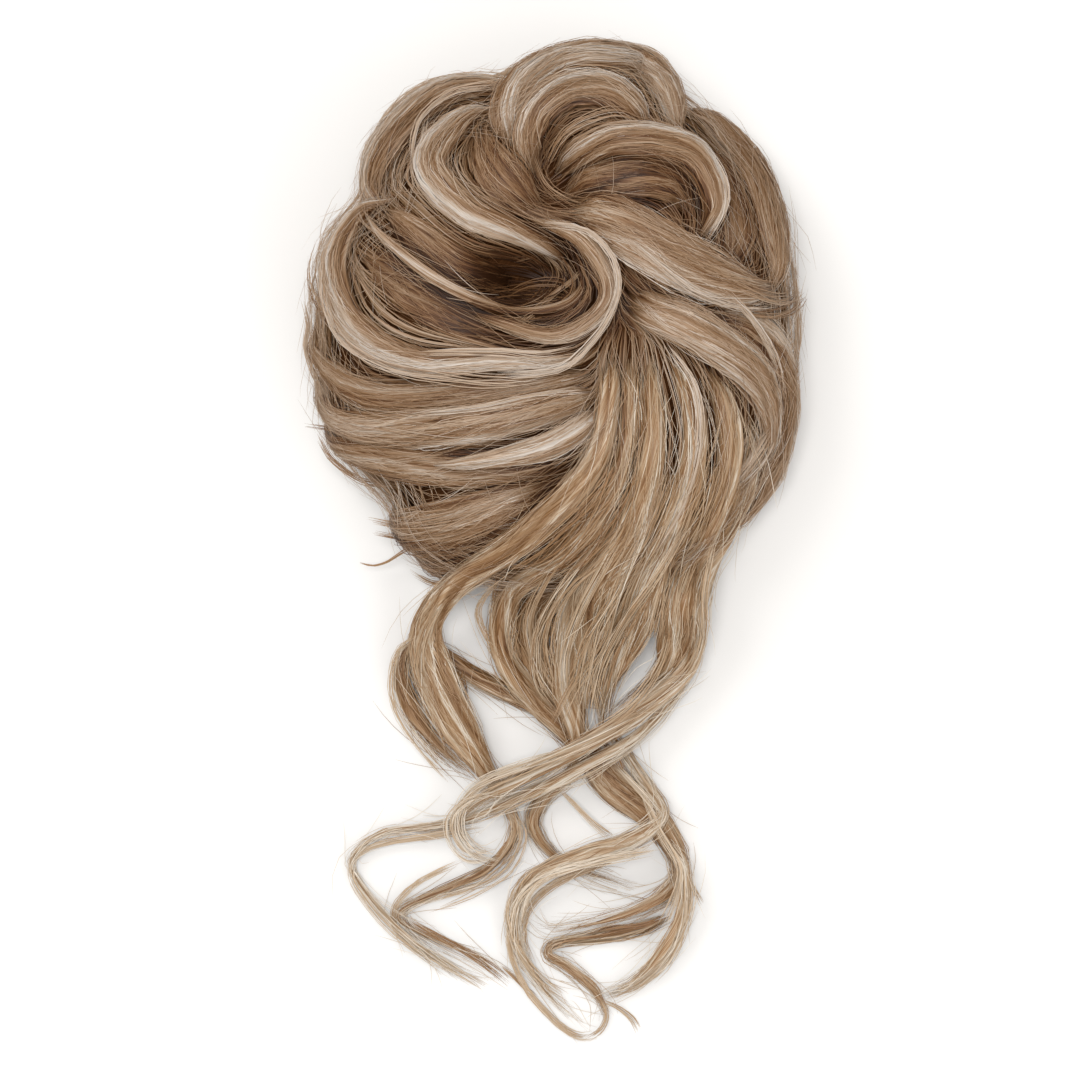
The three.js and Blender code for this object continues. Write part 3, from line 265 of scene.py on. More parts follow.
# Fine locks of a few strands: how many, how far they spread, tone, and x, y, z along them.
FINE_LOCKS = [
    (12, 1.0, 0.82, [(-36.1, 57.9, 37.6), (-36.7, 41.5, 48.5), (-31.4, 29.2, 54.0), (-19.6, 22.3, 54.9), (-9.5, 20.2, 50.0), (-1.0, 15.6, 41.9), (4.2, 9.9, 38.7), (2.4, 4.7, 38.4)]),
    (13, 1.3, 0.84, [(-5.0, 24.0, 51.9), (0.7, 23.5, 54.7), (9.6, 21.3, 57.2), (16.4, 13.9, 58.8), (18.3, 5.7, 59.6), (15.8, -2.7, 60.0), (10.8, -9.9, 58.2), (3.5, -16.6, 57.5), (-6.6, -18.8, 56.4), (-17.9, -18.8, 54.7)]),
    (10, 1.2, 0.78, [(8.4, 11.7, 44.8), (4.7, 8.0, 41.1), (-0.4, 4.3, 40.7), (-6.7, -2.1, 48.8), (-11.7, -6.3, 52.8)]),
    (8, 1.6, 0.66, [(12.0, 6.7, 48.7), (6.9, 2.6, 46.2), (-1.6, 1.0, 43.5), (-9.5, 1.6, 43.8)]),
    (7, 2.6, 0.6, [(10.9, 16.6, 48.2), (6.4, 13.7, 41.4), (1.9, 9.0, 35.1), (-2.4, 3.0, 39.0), (-9.5, -2.7, 49.0)]),
    (7, 3.0, 0.56, [(-23.6, 2.3, 50.0), (-13.8, 5.1, 41.7), (-3.8, 5.5, 35.5), (4.7, 2.8, 42.6), (10.9, 1.2, 49.6)]),
    (8, 1.5, 0.72, [(-13.7, 19.3, 50.7), (-6.1, 17.9, 45.9), (-0.4, 14.8, 41.0), (1.9, 9.9, 38.2), (-0.4, 5.3, 38.8)]),
    (9, 1.2, 0.8, [(-39.3, -13.1, 53.6), (-27.7, -12.6, 56.0), (-15.1, -12.7, 57.1), (-2.4, -13.8, 57.5), (7.4, -12.0, 55.4)]),
    (5, 1.8, 0.66, [(-15.2, 2.6, 45.2), (-6.7, 7.3, 38.4), (1.9, 7.3, 39.5), (6.1, 1.1, 47.0), (1.8, -6.3, 53.3), (-9.5, -10.6, 55.0)]),
    (5, 1.6, 0.74, [(-3.8, 17.0, 43.4), (3.3, 13.7, 41.3), (6.1, 7.2, 40.5), (1.8, -0.2, 44.6), (-6.7, -3.2, 48.9), (-15.1, -2.8, 50.6)]),
    (5, 2.0, 0.55, [(-23.6, -6.3, 52.4), (-13.7, -2.7, 49.2), (-5.3, 3.0, 38.3), (-1.5, 10.4, 34.2), (-6.7, 15.7, 40.6), (-13.8, 13.6, 43.0)]),
    (8, 2.2, 0.6, [(-2.7, 38.8, 41.1), (4.1, 50.0, 48.1), (17.7, 55.0, 49.7), (27.3, 50.7, 46.9)]),
    (6, 2.5, 0.5, [(-6.7, 45.2, 44.9), (-2.4, 35.5, 42.5), (6.1, 29.5, 46.1), (13.1, 27.7, 51.4)]),
    (14, 1.3, 0.85, [(17.6, 48.6, 54.0), (31.2, 49.7, 51.2), (41.5, 45.8, 48.3), (47.4, 38.2, 47.3), (48.2, 29.6, 49.1), (43.1, 19.3, 49.4)]),
    (14, 1.8, 0.84, [(17.5, 22.3, 55.5), (27.6, 13.7, 57.5), (39.5, 5.4, 55.8), (51.6, 1.6, 48.6), (62.5, 2.2, 37.6)]),
    (12, 1.5, 0.84, [(22.7, 3.9, 51.9), (31.0, -4.7, 55.7), (44.6, -11.4, 54.2), (56.9, -19.5, 45.7), (62.5, -29.5, 36.5)]),
    (14, 1.5, 0.82, [(31.2, -9.6, 50.6), (39.6, -21.4, 51.2), (41.4, -33.3, 50.1), (38.7, -48.5, 47.1), (32.6, -62.1, 42.8), (25.9, -71.2, 35.8)]),
    (10, 1.8, 0.72, [(-52.4, 30.5, 38.2), (-62.6, 20.1, 39.5), (-65.1, 6.3, 41.5), (-60.6, -7.6, 46.2), (-46.7, -16.4, 51.9), (-26.4, -19.9, 54.7), (-9.5, -20.7, 54.2), (2.4, -18.1, 52.5)]),
    (10, 1.2, 0.84, [(-38.3, -29.9, 51.7), (-21.3, -28.4, 55.5), (-4.4, -25.0, 55.0), (10.8, -23.2, 53.0)]),
    (12, 1.2, 0.78, [(-54.7, 38.5, 25.0), (-49.4, 55.6, 27.0), (-37.3, 66.1, 26.0), (-21.7, 68.8, 25.0), (-9.6, 65.8, 36.1)]),
    (12, 1.2, 0.78, [(-40.9, 39.8, 48.0), (-38.5, 54.0, 42.7), (-28.4, 63.2, 36.4), (-14.7, 64.8, 37.5)]),
    (12, 1.3, 0.76, [(66.9, 24.9, 21.0), (70.1, 7.5, 21.0), (70.9, -8.1, 21.0), (67.4, -22.2, 26.7), (60.9, -36.3, 34.6), (52.1, -48.4, 38.0), (41.9, -58.6, 38.1)]),
    (10, 1.5, 0.82, [(41.2, 10.6, 54.0), (55.1, -0.9, 46.8), (64.2, -15.8, 37.4), (65.4, -29.3, 31.0), (59.3, -43.1, 33.4), (47.0, -55.2, 37.3)]),
    (10, 1.0, 0.76, [(-72.9, 4.8, 19.0), (-71.2, -3.1, 19.0), (-72.1, -9.2, 19.0), (-70.3, -16.1, 19.0), (-64.6, -25.2, 28.2)]),
    (9, 1.0, 0.38, [(-72.1, -32.0, 24.0), (-64.4, -33.2, 26.0), (-53.7, -35.3, 39.6), (-37.8, -36.6, 48.1)]),
    (9, 1.2, 0.48, [(-69.2, -33.0, 19.0), (-65.1, -41.4, 19.0), (-56.3, -48.1, 21.0), (-45.3, -49.5, 36.7)]),
    (10, 1.3, 0.58, [(-54.8, -59.4, 15.0), (-47.1, -60.8, 19.0), (-36.7, -59.8, 38.4), (-23.7, -57.5, 45.3)]),
    (9, 1.3, 0.52, [(-53.2, -63.4, 12.0), (-46.4, -64.6, 15.0), (-37.1, -64.1, 34.5), (-26.6, -62.6, 42.2)]),
    (6, 0.8, 0.6, [(-57.5, -71.9, 8.0), (-53.6, -73.1, 8.0), (-49.2, -72.2, 9.0), (-45.3, -69.9, 12.0), (-40.5, -67.2, 17.0)]),
    (10, 1.4, 0.75, [(-41.9, -74.3, 9.0), (-35.5, -77.8, 8.0), (-26.6, -77.2, 14.0), (-15.4, -71.3, 24.0)]),
    (10, 1.2, 0.78, [(-35.9, -88.8, 13.0), (-39.5, -97.6, 11.0), (-37.4, -109.3, 12.0), (-30.2, -121.1, 10.0), (-22.0, -133.5, 7.0)]),
    (14, 2.2, 0.6, [(38.4, 13.9, 54.5), (49.3, 8.0, 50.3), (59.3, 3.9, 43.0), (66.1, 3.3, 33.5), (71.0, 6.4, 20.0)]),
    (12, 2.0, 0.5, [(38.5, 6.7, 53.0), (49.9, 1.9, 48.3), (59.4, -0.5, 41.1), (67.5, 1.2, 30.6), (71.6, 6.5, 19.0)]),
    (12, 1.5, 0.78, [(24.4, -45.7, 50.2), (21.1, -59.8, 45.7), (14.4, -72.9, 42.0), (7.1, -87.3, 32.0), (3.1, -100.2, 23.0), (3.7, -112.0, 17.0)]),
    (10, 1.6, 0.74, [(18.8, -54.2, 47.3), (11.0, -66.9, 43.2), (1.9, -79.8, 34.0), (-5.3, -94.4, 22.0), (-3.8, -109.3, 12.0), (3.8, -118.8, 9.0)]),
    (10, 1.6, 0.78, [(38.9, -59.8, 39.8), (30.3, -74.6, 42.0), (20.3, -89.1, 31.0), (13.5, -102.6, 22.0), (10.1, -117.7, 19.0)]),
    (12, 1.6, 0.74, [(46.8, -62.6, 30.7), (43.3, -79.9, 30.0), (43.2, -94.5, 20.0), (39.2, -103.9, 16.0), (28.2, -113.2, 17.0), (13.6, -122.1, 20.0)]),
    (8, 2.0, 0.7, [(-15.3, -77.0, 30.0), (-21.8, -85.8, 20.0), (-18.4, -94.7, 13.0), (-11.2, -103.0, 9.0)]),
    (9, 1.4, 0.68, [(-15.2, -66.9, 41.8), (-19.9, -68.9, 34.0), (-31.3, -81.7, 23.0), (-37.6, -93.7, 16.0), (-38.8, -104.3, 14.0), (-33.0, -115.7, 13.0)]),
    (9, 1.6, 0.7, [(1.9, -71.2, 42.0), (-2.4, -77.2, 36.0), (-7.3, -90.7, 22.0), (-3.0, -104.2, 15.0), (5.2, -116.6, 18.0)]),
    (8, 1.6, 0.62, [(21.2, -71.2, 44.0), (18.2, -80.1, 38.0), (14.9, -95.2, 27.0), (5.2, -110.2, 19.0), (-0.6, -122.1, 19.0)]),
    (9, 1.5, 0.68, [(42.1, -66.9, 33.0), (38.9, -74.4, 34.0), (34.3, -89.2, 25.0), (31.0, -101.5, 20.0), (21.7, -114.2, 20.0), (6.3, -124.1, 20.0)]),
    (7, 1.5, 0.5, [(-9.5, -65.5, 43.1), (-13.9, -71.2, 32.0), (-17.2, -83.5, 19.0), (-12.6, -102.9, 10.0), (-0.6, -114.9, 10.0)]),
    (8, 1.8, 0.66, [(14.9, -71.2, 44.0), (4.7, -79.8, 36.0), (-1.5, -94.4, 24.0), (2.0, -109.1, 16.0)]),
    (7, 1.6, 0.7, [(31.1, -112.1, 16.0), (19.4, -118.3, 20.0), (4.9, -126.4, 20.0), (-9.7, -134.0, 14.0)]),
    (14, 1.0, 0.84, [(-59.7, -162.0, 3.0), (-56.2, -157.3, 3.4), (-49.1, -154.6, 3.8), (-33.8, -152.2, 4.5), (-20.3, -149.7, 6.0)]),
    (16, 1.8, 0.88, [(11.2, -125.0, 20.0), (-5.3, -129.8, 17.0), (-20.2, -135.9, 12.0), (-26.9, -143.6, 10.0), (-27.9, -151.0, 8.5), (-23.2, -157.2, 8.0), (-15.9, -159.7, 6.0)]),
    (12, 1.0, 0.8, [(2.0, -138.8, 7.0), (6.4, -143.3, 6.0), (12.3, -149.1, 6.0), (17.3, -152.9, 7.0)]),
    (16, 1.2, 0.74, [(29.8, -153.3, 9.0), (13.7, -161.0, 8.0), (2.0, -165.5, 7.0), (-3.8, -169.7, 6.0), (-8.2, -175.7, 5.0), (-9.1, -181.6, 4.0), (-7.7, -187.6, 3.0), (-4.7, -193.6, 2.0)]),
    (14, 1.0, 0.8, [(-11.8, -172.5, 7.0), (-13.2, -181.5, 5.0), (-11.8, -189.6, 3.6), (-7.7, -198.0, 2.4), (-1.8, -205.1, 1.8), (3.5, -209.9, 1.4), (8.5, -212.0, 1.2), (13.3, -211.4, 1.0)]),
    (10, 1.0, 0.74, [(2.1, -187.9, 3.0), (7.9, -193.5, 3.0), (13.2, -199.4, 2.6), (15.6, -205.4, 2.0), (13.8, -209.9, 1.4), (9.1, -212.8, 1.2)]),
    (7, 1.3, 0.8, [(13.8, -200.9, 2.4), (19.1, -203.3, 2.0), (23.3, -206.9, 1.6), (25.6, -211.1, 1.2)]),
    (9, 1.4, 0.84, [(-59.1, -155.2, 4.0), (-59.7, -164.0, 3.4), (-55.0, -172.3, 3.4), (-47.9, -180.1, 5.0), (-39.1, -186.6, 4.4), (-28.9, -193.5, 2.6)]),
    (9, 1.6, 0.84, [(-15.5, -139.0, 13.0), (-24.9, -141.4, 12.0), (-30.2, -146.8, 10.0), (-29.6, -153.9, 8.5), (-24.4, -158.8, 7.0), (-15.6, -157.1, 6.0)]),
    (12, 1.6, 0.8, [(25.2, -116.6, 18.0), (13.5, -122.8, 22.0), (2.0, -127.7, 22.0), (-9.7, -133.0, 16.0), (-21.3, -137.8, 14.0), (-27.8, -143.2, 12.0)]),
    (10, 1.8, 0.84, [(31.8, -155.9, 13.0), (19.5, -157.6, 14.0), (6.4, -161.3, 12.0), (-3.8, -165.0, 10.0), (-10.9, -172.4, 8.0), (-11.5, -183.0, 5.0), (-6.8, -192.6, 3.4)]),
    (9, 1.6, 0.84, [(40.0, -159.0, 11.0), (40.6, -170.8, 9.6), (37.8, -181.4, 6.4), (32.6, -190.4, 4.4), (24.4, -197.9, 3.0)]),
    (10, 1.6, 0.8, [(-35.9, -91.7, 16.0), (-44.8, -97.7, 10.0), (-47.2, -109.4, 8.0), (-44.3, -118.3, 7.5), (-37.9, -127.1, 7.0), (-29.7, -135.9, 6.0)]),
    (9, 1.5, 0.8, [(-15.6, -141.9, 5.0), (-9.1, -150.7, 5.0), (-12.7, -161.9, 4.6), (-24.4, -169.0, 4.0), (-39.1, -173.7, 3.6)]),
    (10, 1.2, 0.84, [(-24.4, -158.9, 5.0), (-40.6, -167.0, 3.0), (-46.5, -174.4, 2.6), (-44.5, -181.8, 2.4), (-30.3, -190.6, 2.4), (-18.6, -198.0, 1.8)]),
    (7, 1.0, 0.72, [(37.2, -159.8, 8.0), (40.2, -165.8, 7.0), (44.0, -173.0, 5.0)]),
    (12, 1.2, 0.42, [(32.6, -176.5, 5.0), (25.5, -178.9, 5.0), (17.3, -180.2, 4.0), (10.9, -182.0, 3.0)]),
    (14, 1.3, 0.5, [(-43.5, -176.6, 4.0), (-35.6, -181.3, 4.0), (-26.8, -186.1, 3.4), (-19.1, -190.9, 2.8), (-12.7, -196.3, 2.0)]),
    (10, 1.4, 0.8, [(-9.7, -165.0, 9.0), (-13.2, -172.4, 8.0), (-12.1, -181.4, 6.0), (-8.0, -189.6, 4.0), (-1.5, -196.4, 3.0), (5.0, -200.9, 2.4)]),
    (9, 1.6, 0.74, [(12.3, -86.2, 30.0), (10.6, -97.3, 24.0), (12.4, -109.1, 18.0), (14.8, -118.0, 14.0)]),
    (12, 2.4, 0.66, [(24.7, -71.2, 37.2), (16.8, -82.7, 36.0), (10.6, -94.3, 29.0), (7.2, -106.0, 22.0), (5.5, -113.7, 18.0)]),
    (12, 2.2, 0.6, [(34.1, -71.2, 30.8), (25.3, -83.2, 36.0), (19.2, -93.1, 28.0), (14.7, -102.6, 21.0), (13.6, -112.1, 15.0)]),
    (12, 1.3, 0.82, [(24.9, -136.0, 9.0), (30.6, -149.3, 12.0), (36.8, -161.4, 11.0), (35.4, -170.6, 9.0), (31.4, -180.0, 6.0)]),
    (14, 1.2, 0.88, [(-9.7, -180.0, 6.0), (-6.8, -169.1, 9.0), (2.3, -161.4, 11.0), (15.7, -159.2, 13.0), (30.6, -155.4, 13.0)]),
    (12, 1.0, 0.86, [(17.3, -130.1, 6.0), (23.1, -136.4, 8.0), (28.3, -142.1, 11.0), (32.4, -147.8, 12.0)]),
    (10, 1.2, 0.8, [(38.3, -164.9, 11.0), (38.9, -175.3, 9.0), (34.9, -185.9, 5.0), (25.6, -195.5, 3.5), (15.6, -200.3, 2.5)]),
    (10, 1.4, 0.62, [(-33.0, -94.6, 15.0), (-37.8, -94.8, 9.0), (-43.8, -98.4, 6.0), (-45.5, -106.6, 5.5), (-42.0, -116.0, 5.0)]),
    (8, 1.2, 0.5, [(13.7, -123.2, 14.0), (18.4, -128.8, 8.0), (21.4, -135.3, 6.0)]),
    (12, 1.2, 0.5, [(0.6, -181.7, 3.0), (-2.1, -186.1, 3.0), (3.8, -191.1, 3.0), (11.5, -196.7, 3.0), (15.3, -204.5, 2.0)]),
    (8, 1.0, 0.6, [(-15.6, -190.6, 2.5), (-9.7, -196.5, 2.0), (-5.3, -201.0, 1.5)]),
]
# Hollows between the locks where shade is painted into the hair as a deeper tone: x, y, reach in x and y, and how much
# deeper its tone is.
SHADED_HOLLOWS = [
    (-9.5, -0.6, 14.8, 6.3, 0.26), (-28.0, 13.6, 11.4, 5.7, 0.22), (-4.4, 6.8, 22.2, 12.5, 0.44), (-0.4, 6.8, 14.2, 10.8, 0.26), (-19.8, 4.5, 12.5, 5.1, 0.28), (21.8, 1.4, 4.6, 9.7, 0.2), (-21.5, -21.7, 7.4, 2.6, 0.2), (-1.6, -54.1, 5.1, 9.7, 0.22), (-9.5, -65.5, 7.4, 4.0, 0.2), (44.0, -57.0, 3.4, 7.4, 0.16), (27.5, -71.8, 3.4, 5.1, 0.16), (-1.3, 41.2, 4.6, 9.7, 0.22), (41.1, 29.9, 3.4, 4.6, 0.16), (16.7, -5.7, 4.0, 6.3, 0.18), (-23.8, 2.8, 8.5, 5.1, 0.14), (10.4, -85.4, 2.8, 4.6, 0.1), (-43.7, 11.4, 8.5, 4.0, 0.1), (24.6, 31.3, 9.7, 5.1, 0.1), (-29.5, -71.2, 8.5, 3.4, 0.12),
]
# Neighbouring falls with strands between them: the two locks, y at the start and end, count, tone.
VEILS = [
    ("fall_mid_curl", "inner_curl", -78.0, -100.0, 34, 0.52),
    ("inner_curl", "fall_centre_curl", -74.0, -112.0, 60, 0.56),
    ("fall_centre_curl", "fall_right_curl", -46.0, -114.0, 130, 0.62),
    ("fall_right_curl", "fall_outer_curl", -44.0, -92.0, 80, 0.62),
    ("fall_outer_curl", "right_curl", -48.0, -96.0, 60, 0.64),
    ("fall_mid_curl", "fall_centre_curl", -46.0, -76.0, 50, 0.5),
    ("fall_left_curl", "fall_mid_curl", -44.0, -72.0, 50, 0.48),
    ("left_back_curl", "fall_left_curl", -104.0, -131.0, 44, 0.52),
]
SLOTS = {
    "centre_curl": "hair_pale",
    "centre_swirl": "hair_pale",
    "left_sweep_pale": "hair_pale",
    "right_curl": "hair_honey",
    "left_loop": "hair_pale",
    "upper_left_lock": "hair_pale",
    "right_sweep": "hair_pale",
    "right_loop": "hair_pale",
    "lower_right_sweep": "hair_pale",
    "fall_mid_curl": "hair_honey",
    "fall_left_curl": "hair_honey",
    "fall_centre_curl": "hair_honey",
    "fall_right_curl": "hair_pale",
    "far_left_curl": "hair_pale",
    "bottom_coil": "hair_pale",
    "bottom_right_curl": "hair_pale",
    "inner_curl": "hair_brown",
    "fall_outer_curl": "hair_honey",
    "left_sweep_middle": "hair_pale",
    "left_sweep_lower": "hair_honey",
    "left_sweep_upper": "hair_honey",
    "crown_loop_inner": "hair_honey",
    "crown_loop_outer": "hair_pale",
    "right_rim": "hair_honey",
    "right_rim_inner": "hair_brown",
    "upper_left_rim": "hair_pale",
    "upper_left_fan": "hair_brown",
    "right_loop_fill": "hair_brown",
    "petal_lock": "hair_honey",
    "left_loop_fill": "hair_brown",
    "nape_lock": "hair_honey",
    "nape_under_lock": "hair_brown",
    "right_side_lock": "hair_honey",
    "left_back_curl": "hair_brown",
    "bottom_centre_curl": "hair_pale",
}

# ---------------------------------------------------------------- routes
def smooth_rows(rows, per=14):
    """A centripetal curve through the rows; every column is carried along."""
    r = np.asarray(rows, float)
    first = 2 * r[0] - r[1]
    last = 2 * r[-1] - r[-2]
    p = np.vstack([first, r, last])
    out = []
    for i in range(1, len(p) - 2):
        q = p[i - 1:i + 3]
        d = [max(float(np.linalg.norm(q[k + 1, :3] - q[k, :3])) ** 0.5, 1e-4) for k in range(3)]
        t0, t1, t2, t3 = 0.0, d[0], d[0] + d[1], d[0] + d[1] + d[2]
        x = (t1 + (t2 - t1) * np.arange(per) / per)[:, None]
        a1 = (t1 - x) / (t1 - t0) * q[0] + (x - t0) / (t1 - t0) * q[1]
        a2 = (t2 - x) / (t2 - t1) * q[1] + (x - t1) / (t2 - t1) * q[2]
        a3 = (t3 - x) / (t3 - t2) * q[2] + (x - t2) / (t3 - t2) * q[3]
        b1 = (t2 - x) / (t2 - t0) * a1 + (x - t0) / (t2 - t0) * a2
        b2 = (t3 - x) / (t3 - t1) * a2 + (x - t1) / (t3 - t1) * a3
        out.append((t2 - x) / (t2 - t1) * b1 + (x - t1) / (t2 - t1) * b2)
    return np.vstack(out + [r[-1:]])


def unit(v):
    return v / np.maximum(np.linalg.norm(v, axis=-1, keepdims=True), 1e-9)


def ease(x):
    x = np.clip(x, 0, 1)
    return x * x * (3 - 2 * x)


class Route:
    """One lock's way: evenly spaced stations with place, frame, width and thickness."""

    def __init__(self, name, bun=(), free=(), side=None):
        self.name = name
        self.free = bool(free)
        if side is not None:
            start, span, z0, z1, width, s0, s1 = side
            u = np.linspace(0, 1, 5)
            ang = start + span * u
            belly = np.sin(np.pi * u)
            r = outline(ang) * (s0 + (s1 - s0) * u) * (0.93 + 0.07 * belly)
            rad = np.radians(ang)
            nrm = unit(np.stack([np.cos(rad), np.sin(rad), np.full_like(rad, 0.15)], -1))
            rows = np.column_stack([r * np.cos(rad), r * np.sin(rad), z0 + (z1 - z0) * u,
                                    width * (0.62 + 0.38 * belly), np.full(5, 7.0), nrm])
        else:
            rows = []
            for x, y, lift, w, h in bun:
                n = outward(np.array(x), np.array(y))
                rows.append([x, y, float(crown(np.array(x), np.array(y))) + lift, w, h, *n])
            for x, y, z, w, h in free:
                rows.append([x, y, z, w, h, 0.0, 0.0, 1.0])
        d = smooth_rows(rows)
        run = np.r_[0, np.cumsum(np.linalg.norm(np.diff(d[:, :3], axis=0), axis=1))]
        self.length = float(run[-1])
        self.m = max(24, int(self.length / 1.1))
        at = np.linspace(0, run[-1], self.m)
        d = np.stack([np.interp(at, run, d[:, c]) for c in range(8)], 1)
        self.p, self.w, self.h = d[:, :3], np.maximum(d[:, 3], 0.8), np.maximum(d[:, 4], 0.8)
        self.t = unit(np.gradient(self.p, axis=0))
        n = unit(d[:, 5:8])
        self.side = unit(np.cross(self.t, n))
        self.up = unit(np.cross(self.side, self.t))
        # a bun lock draws together and dives in where it is pinned
        if bun or side is not None:
            u = np.linspace(0, 1, self.m)
            near = u if self.free else np.minimum(u, 1 - u)
            k = ease(near * self.length / 11.0)
            self.w = self.w * (0.45 + 0.55 * k)
            self.h = self.h * (0.6 + 0.4 * k)
            # an end on the bun's side narrows over a longer run
            for (x, y, z), way in ((self.p[0], u), (self.p[-1], 1 - u)):
                at_rim = np.hypot(x, y) > 0.82 * outline(np.degrees(np.arctan2(y, x)))
                if at_rim and z < 40 and not (self.free and way[0] > 0.5):
                    j = ease(way * self.length / 26.0)
                    self.w = self.w * (0.34 + 0.66 * j)
                    self.h = self.h * (0.7 + 0.3 * j)
            self.p = self.p - self.up * (1.6 * (1 - k))[:, None]
        # its clumps: shallow ridges that drift along it
        self.lobes = int(np.clip(round(float(np.median(self.w)) * 0.75) + 3, 4, 13))
        self.phase = rng.uniform(0, 2 * np.pi, 5)
        self.relief = 0.15 if self.free else 0.08
        if self.free:
            self.lobes = int(np.clip(round(float(np.median(self.w)) * 0.5) + 2, 3, 8))
        self.streak_at = np.array([2.3, 3.7, 5.6, 8.1, 13.0, 19.0, 27.0]) * rng.uniform(0.9, 1.1, 7)
        self.streak_phase = rng.uniform(0, 2 * np.pi, (7, 2))

    def ridge(self, a, s, winds=0.0):
        """Height of the clumps, about -1 to 1, at angles a round the lock and shares s along it."""
        x = s * self.length
        d = 0.28 * np.sin(x / 16.0 + self.phase[0]) + 0.16 * np.sin(x / 7.0 + self.phase[1]) + 2 * np.pi * winds * s
        n = self.lobes
        return (0.50 * np.cos(n * (a - d) + self.phase[2])
                + 0.32 * np.cos((2 * n - 1) * (a - 1.1 * d) + self.phase[3] + 1.5 * np.sin(x / 11.0))
                + 0.28 * np.cos((n // 2 + 1) * (a - 0.8 * d) + self.phase[4]))

    def streak(self, a, s, winds=0.0, bands=4):
        """Paler and deeper bands of hair, about +-1, that run along the lock."""
        x = s * self.length
        d = 0.28 * np.sin(x / 16.0 + self.phase[0]) + 0.16 * np.sin(x / 7.0 + self.phase[1]) + 2 * np.pi * winds * s
        out = 0.0
        for f, (p, q) in zip(self.streak_at[:bands], self.streak_phase[:bands]):
            out = out + np.cos(f * (a - d) + p + 0.9 * np.sin(x / 21.0 + q))
        return out / (0.5 * bands) ** 0.5

    def shares(self, longest, sharpest):
        """Shares of the length for a strand's points: no step over longest mm, and no turn
        over sharpest degrees."""
        turn = np.degrees(np.arccos(np.clip((self.t[1:] * self.t[:-1]).sum(1), -1, 1)))
        need = np.maximum(self.length / (self.m - 1) / longest, turn / sharpest)
        run = np.r_[0, np.cumsum(need)]
        k = max(6, int(np.ceil(run[-1])))
        return np.interp(np.linspace(0, run[-1], k + 1), run, np.linspace(0, 1, self.m))

    def at(self, s, name):
        """Values at shares s (any shape) of the length."""
        v = getattr(self, name)
        x = np.clip(s, 0, 1) * (self.m - 1)
        i = np.minimum(x.astype(int), self.m - 2)
        f = x - i
        if v.ndim == 1:
            return v[i] * (1 - f) + v[i + 1] * f
        return v[i] * (1 - f)[..., None] + v[i + 1] * f[..., None]


def wander(n, s, waves):
    """Smooth wandering values of about +-1, one row a strand, along shares s (n, k)."""
    out = np.zeros_like(s)
    for k, weight in ((1, 0.6), (2, 0.35), (3.7, 0.2)):
        f = waves * k * rng.uniform(0.7, 1.3, (n, 1))
        out += weight * np.sin(2 * np.pi * (f * s + rng.uniform(0, 1, (n, 1))))
    return out


# ---------------------------------------------------------------- how deep a place lies, for painted shade
# A grid of the locks' tops. Hair that lies under its neighbours' tops gets painted shade: its
# tone is made deeper the lower it lies.
CELL, GX, GY = 1.5, (-90.0, 96.0), (-232.0, 96.0)
TOPS = np.zeros((int((GX[1] - GX[0]) / CELL) + 1, int((GY[1] - GY[0]) / CELL) + 1))


def raise_tops(v):
    i = np.clip(((v[..., 0] - GX[0]) / CELL).round().astype(int), 0, TOPS.shape[0] - 1)
    j = np.clip(((v[..., 1] - GY[0]) / CELL).round().astype(int), 0, TOPS.shape[1] - 1)
    np.maximum.at(TOPS, (i.ravel(), j.ravel()), v[..., 2].ravel())


def close_tops():
    """Widens the tops by a cell, then softens them."""
    global TOPS
    t = TOPS
    for axis in (0, 1):
        t = np.maximum(t, np.maximum(np.roll(t, 1, axis), np.roll(t, -1, axis)))
    for _ in range(3):
        for axis in (0, 1):
            t = 0.5 * t + 0.25 * (np.roll(t, 1, axis) + np.roll(t, -1, axis))
    TOPS = t


def depth(v):
    x = np.clip((v[..., 0] - GX[0]) / CELL, 0, TOPS.shape[0] - 1.001)
    y = np.clip((v[..., 1] - GY[0]) / CELL, 0, TOPS.shape[1] - 1.001)
    i, j = x.astype(int), y.astype(int)
    fx, fy = x - i, y - j
    top = ((TOPS[i, j] * (1 - fx) + TOPS[i + 1, j] * fx) * (1 - fy)
           + (TOPS[i, j + 1] * (1 - fx) + TOPS[i + 1, j + 1] * fx) * fy)
    return np.clip(top - v[..., 2], 0, 12)


def shadowed(v, own=1.2):
    """How much painted shade, as a deeper tone, the hair gets at points v: by its depth under the tops, where own mm of
    depth don't count, and in the listed hollows where it lies low.
    """
    out = 0.054 * np.clip(depth(v) - own, 0, 8)
    over = v[..., 2] - crown(v[..., 0], v[..., 1])
    # painted shade in the listed hollows, only where the hair lies low over the crown
    low = np.clip((7.5 - over) / 5.0, 0, 1) * (v[..., 2] > 12)
    for x, y, rx, ry, k in SHADED_HOLLOWS:
        out = out + k * low * np.exp(-((v[..., 0] - x) ** 2 / rx ** 2) - (v[..., 1] - y) ** 2 / ry ** 2)
    return np.minimum(out, 0.62)


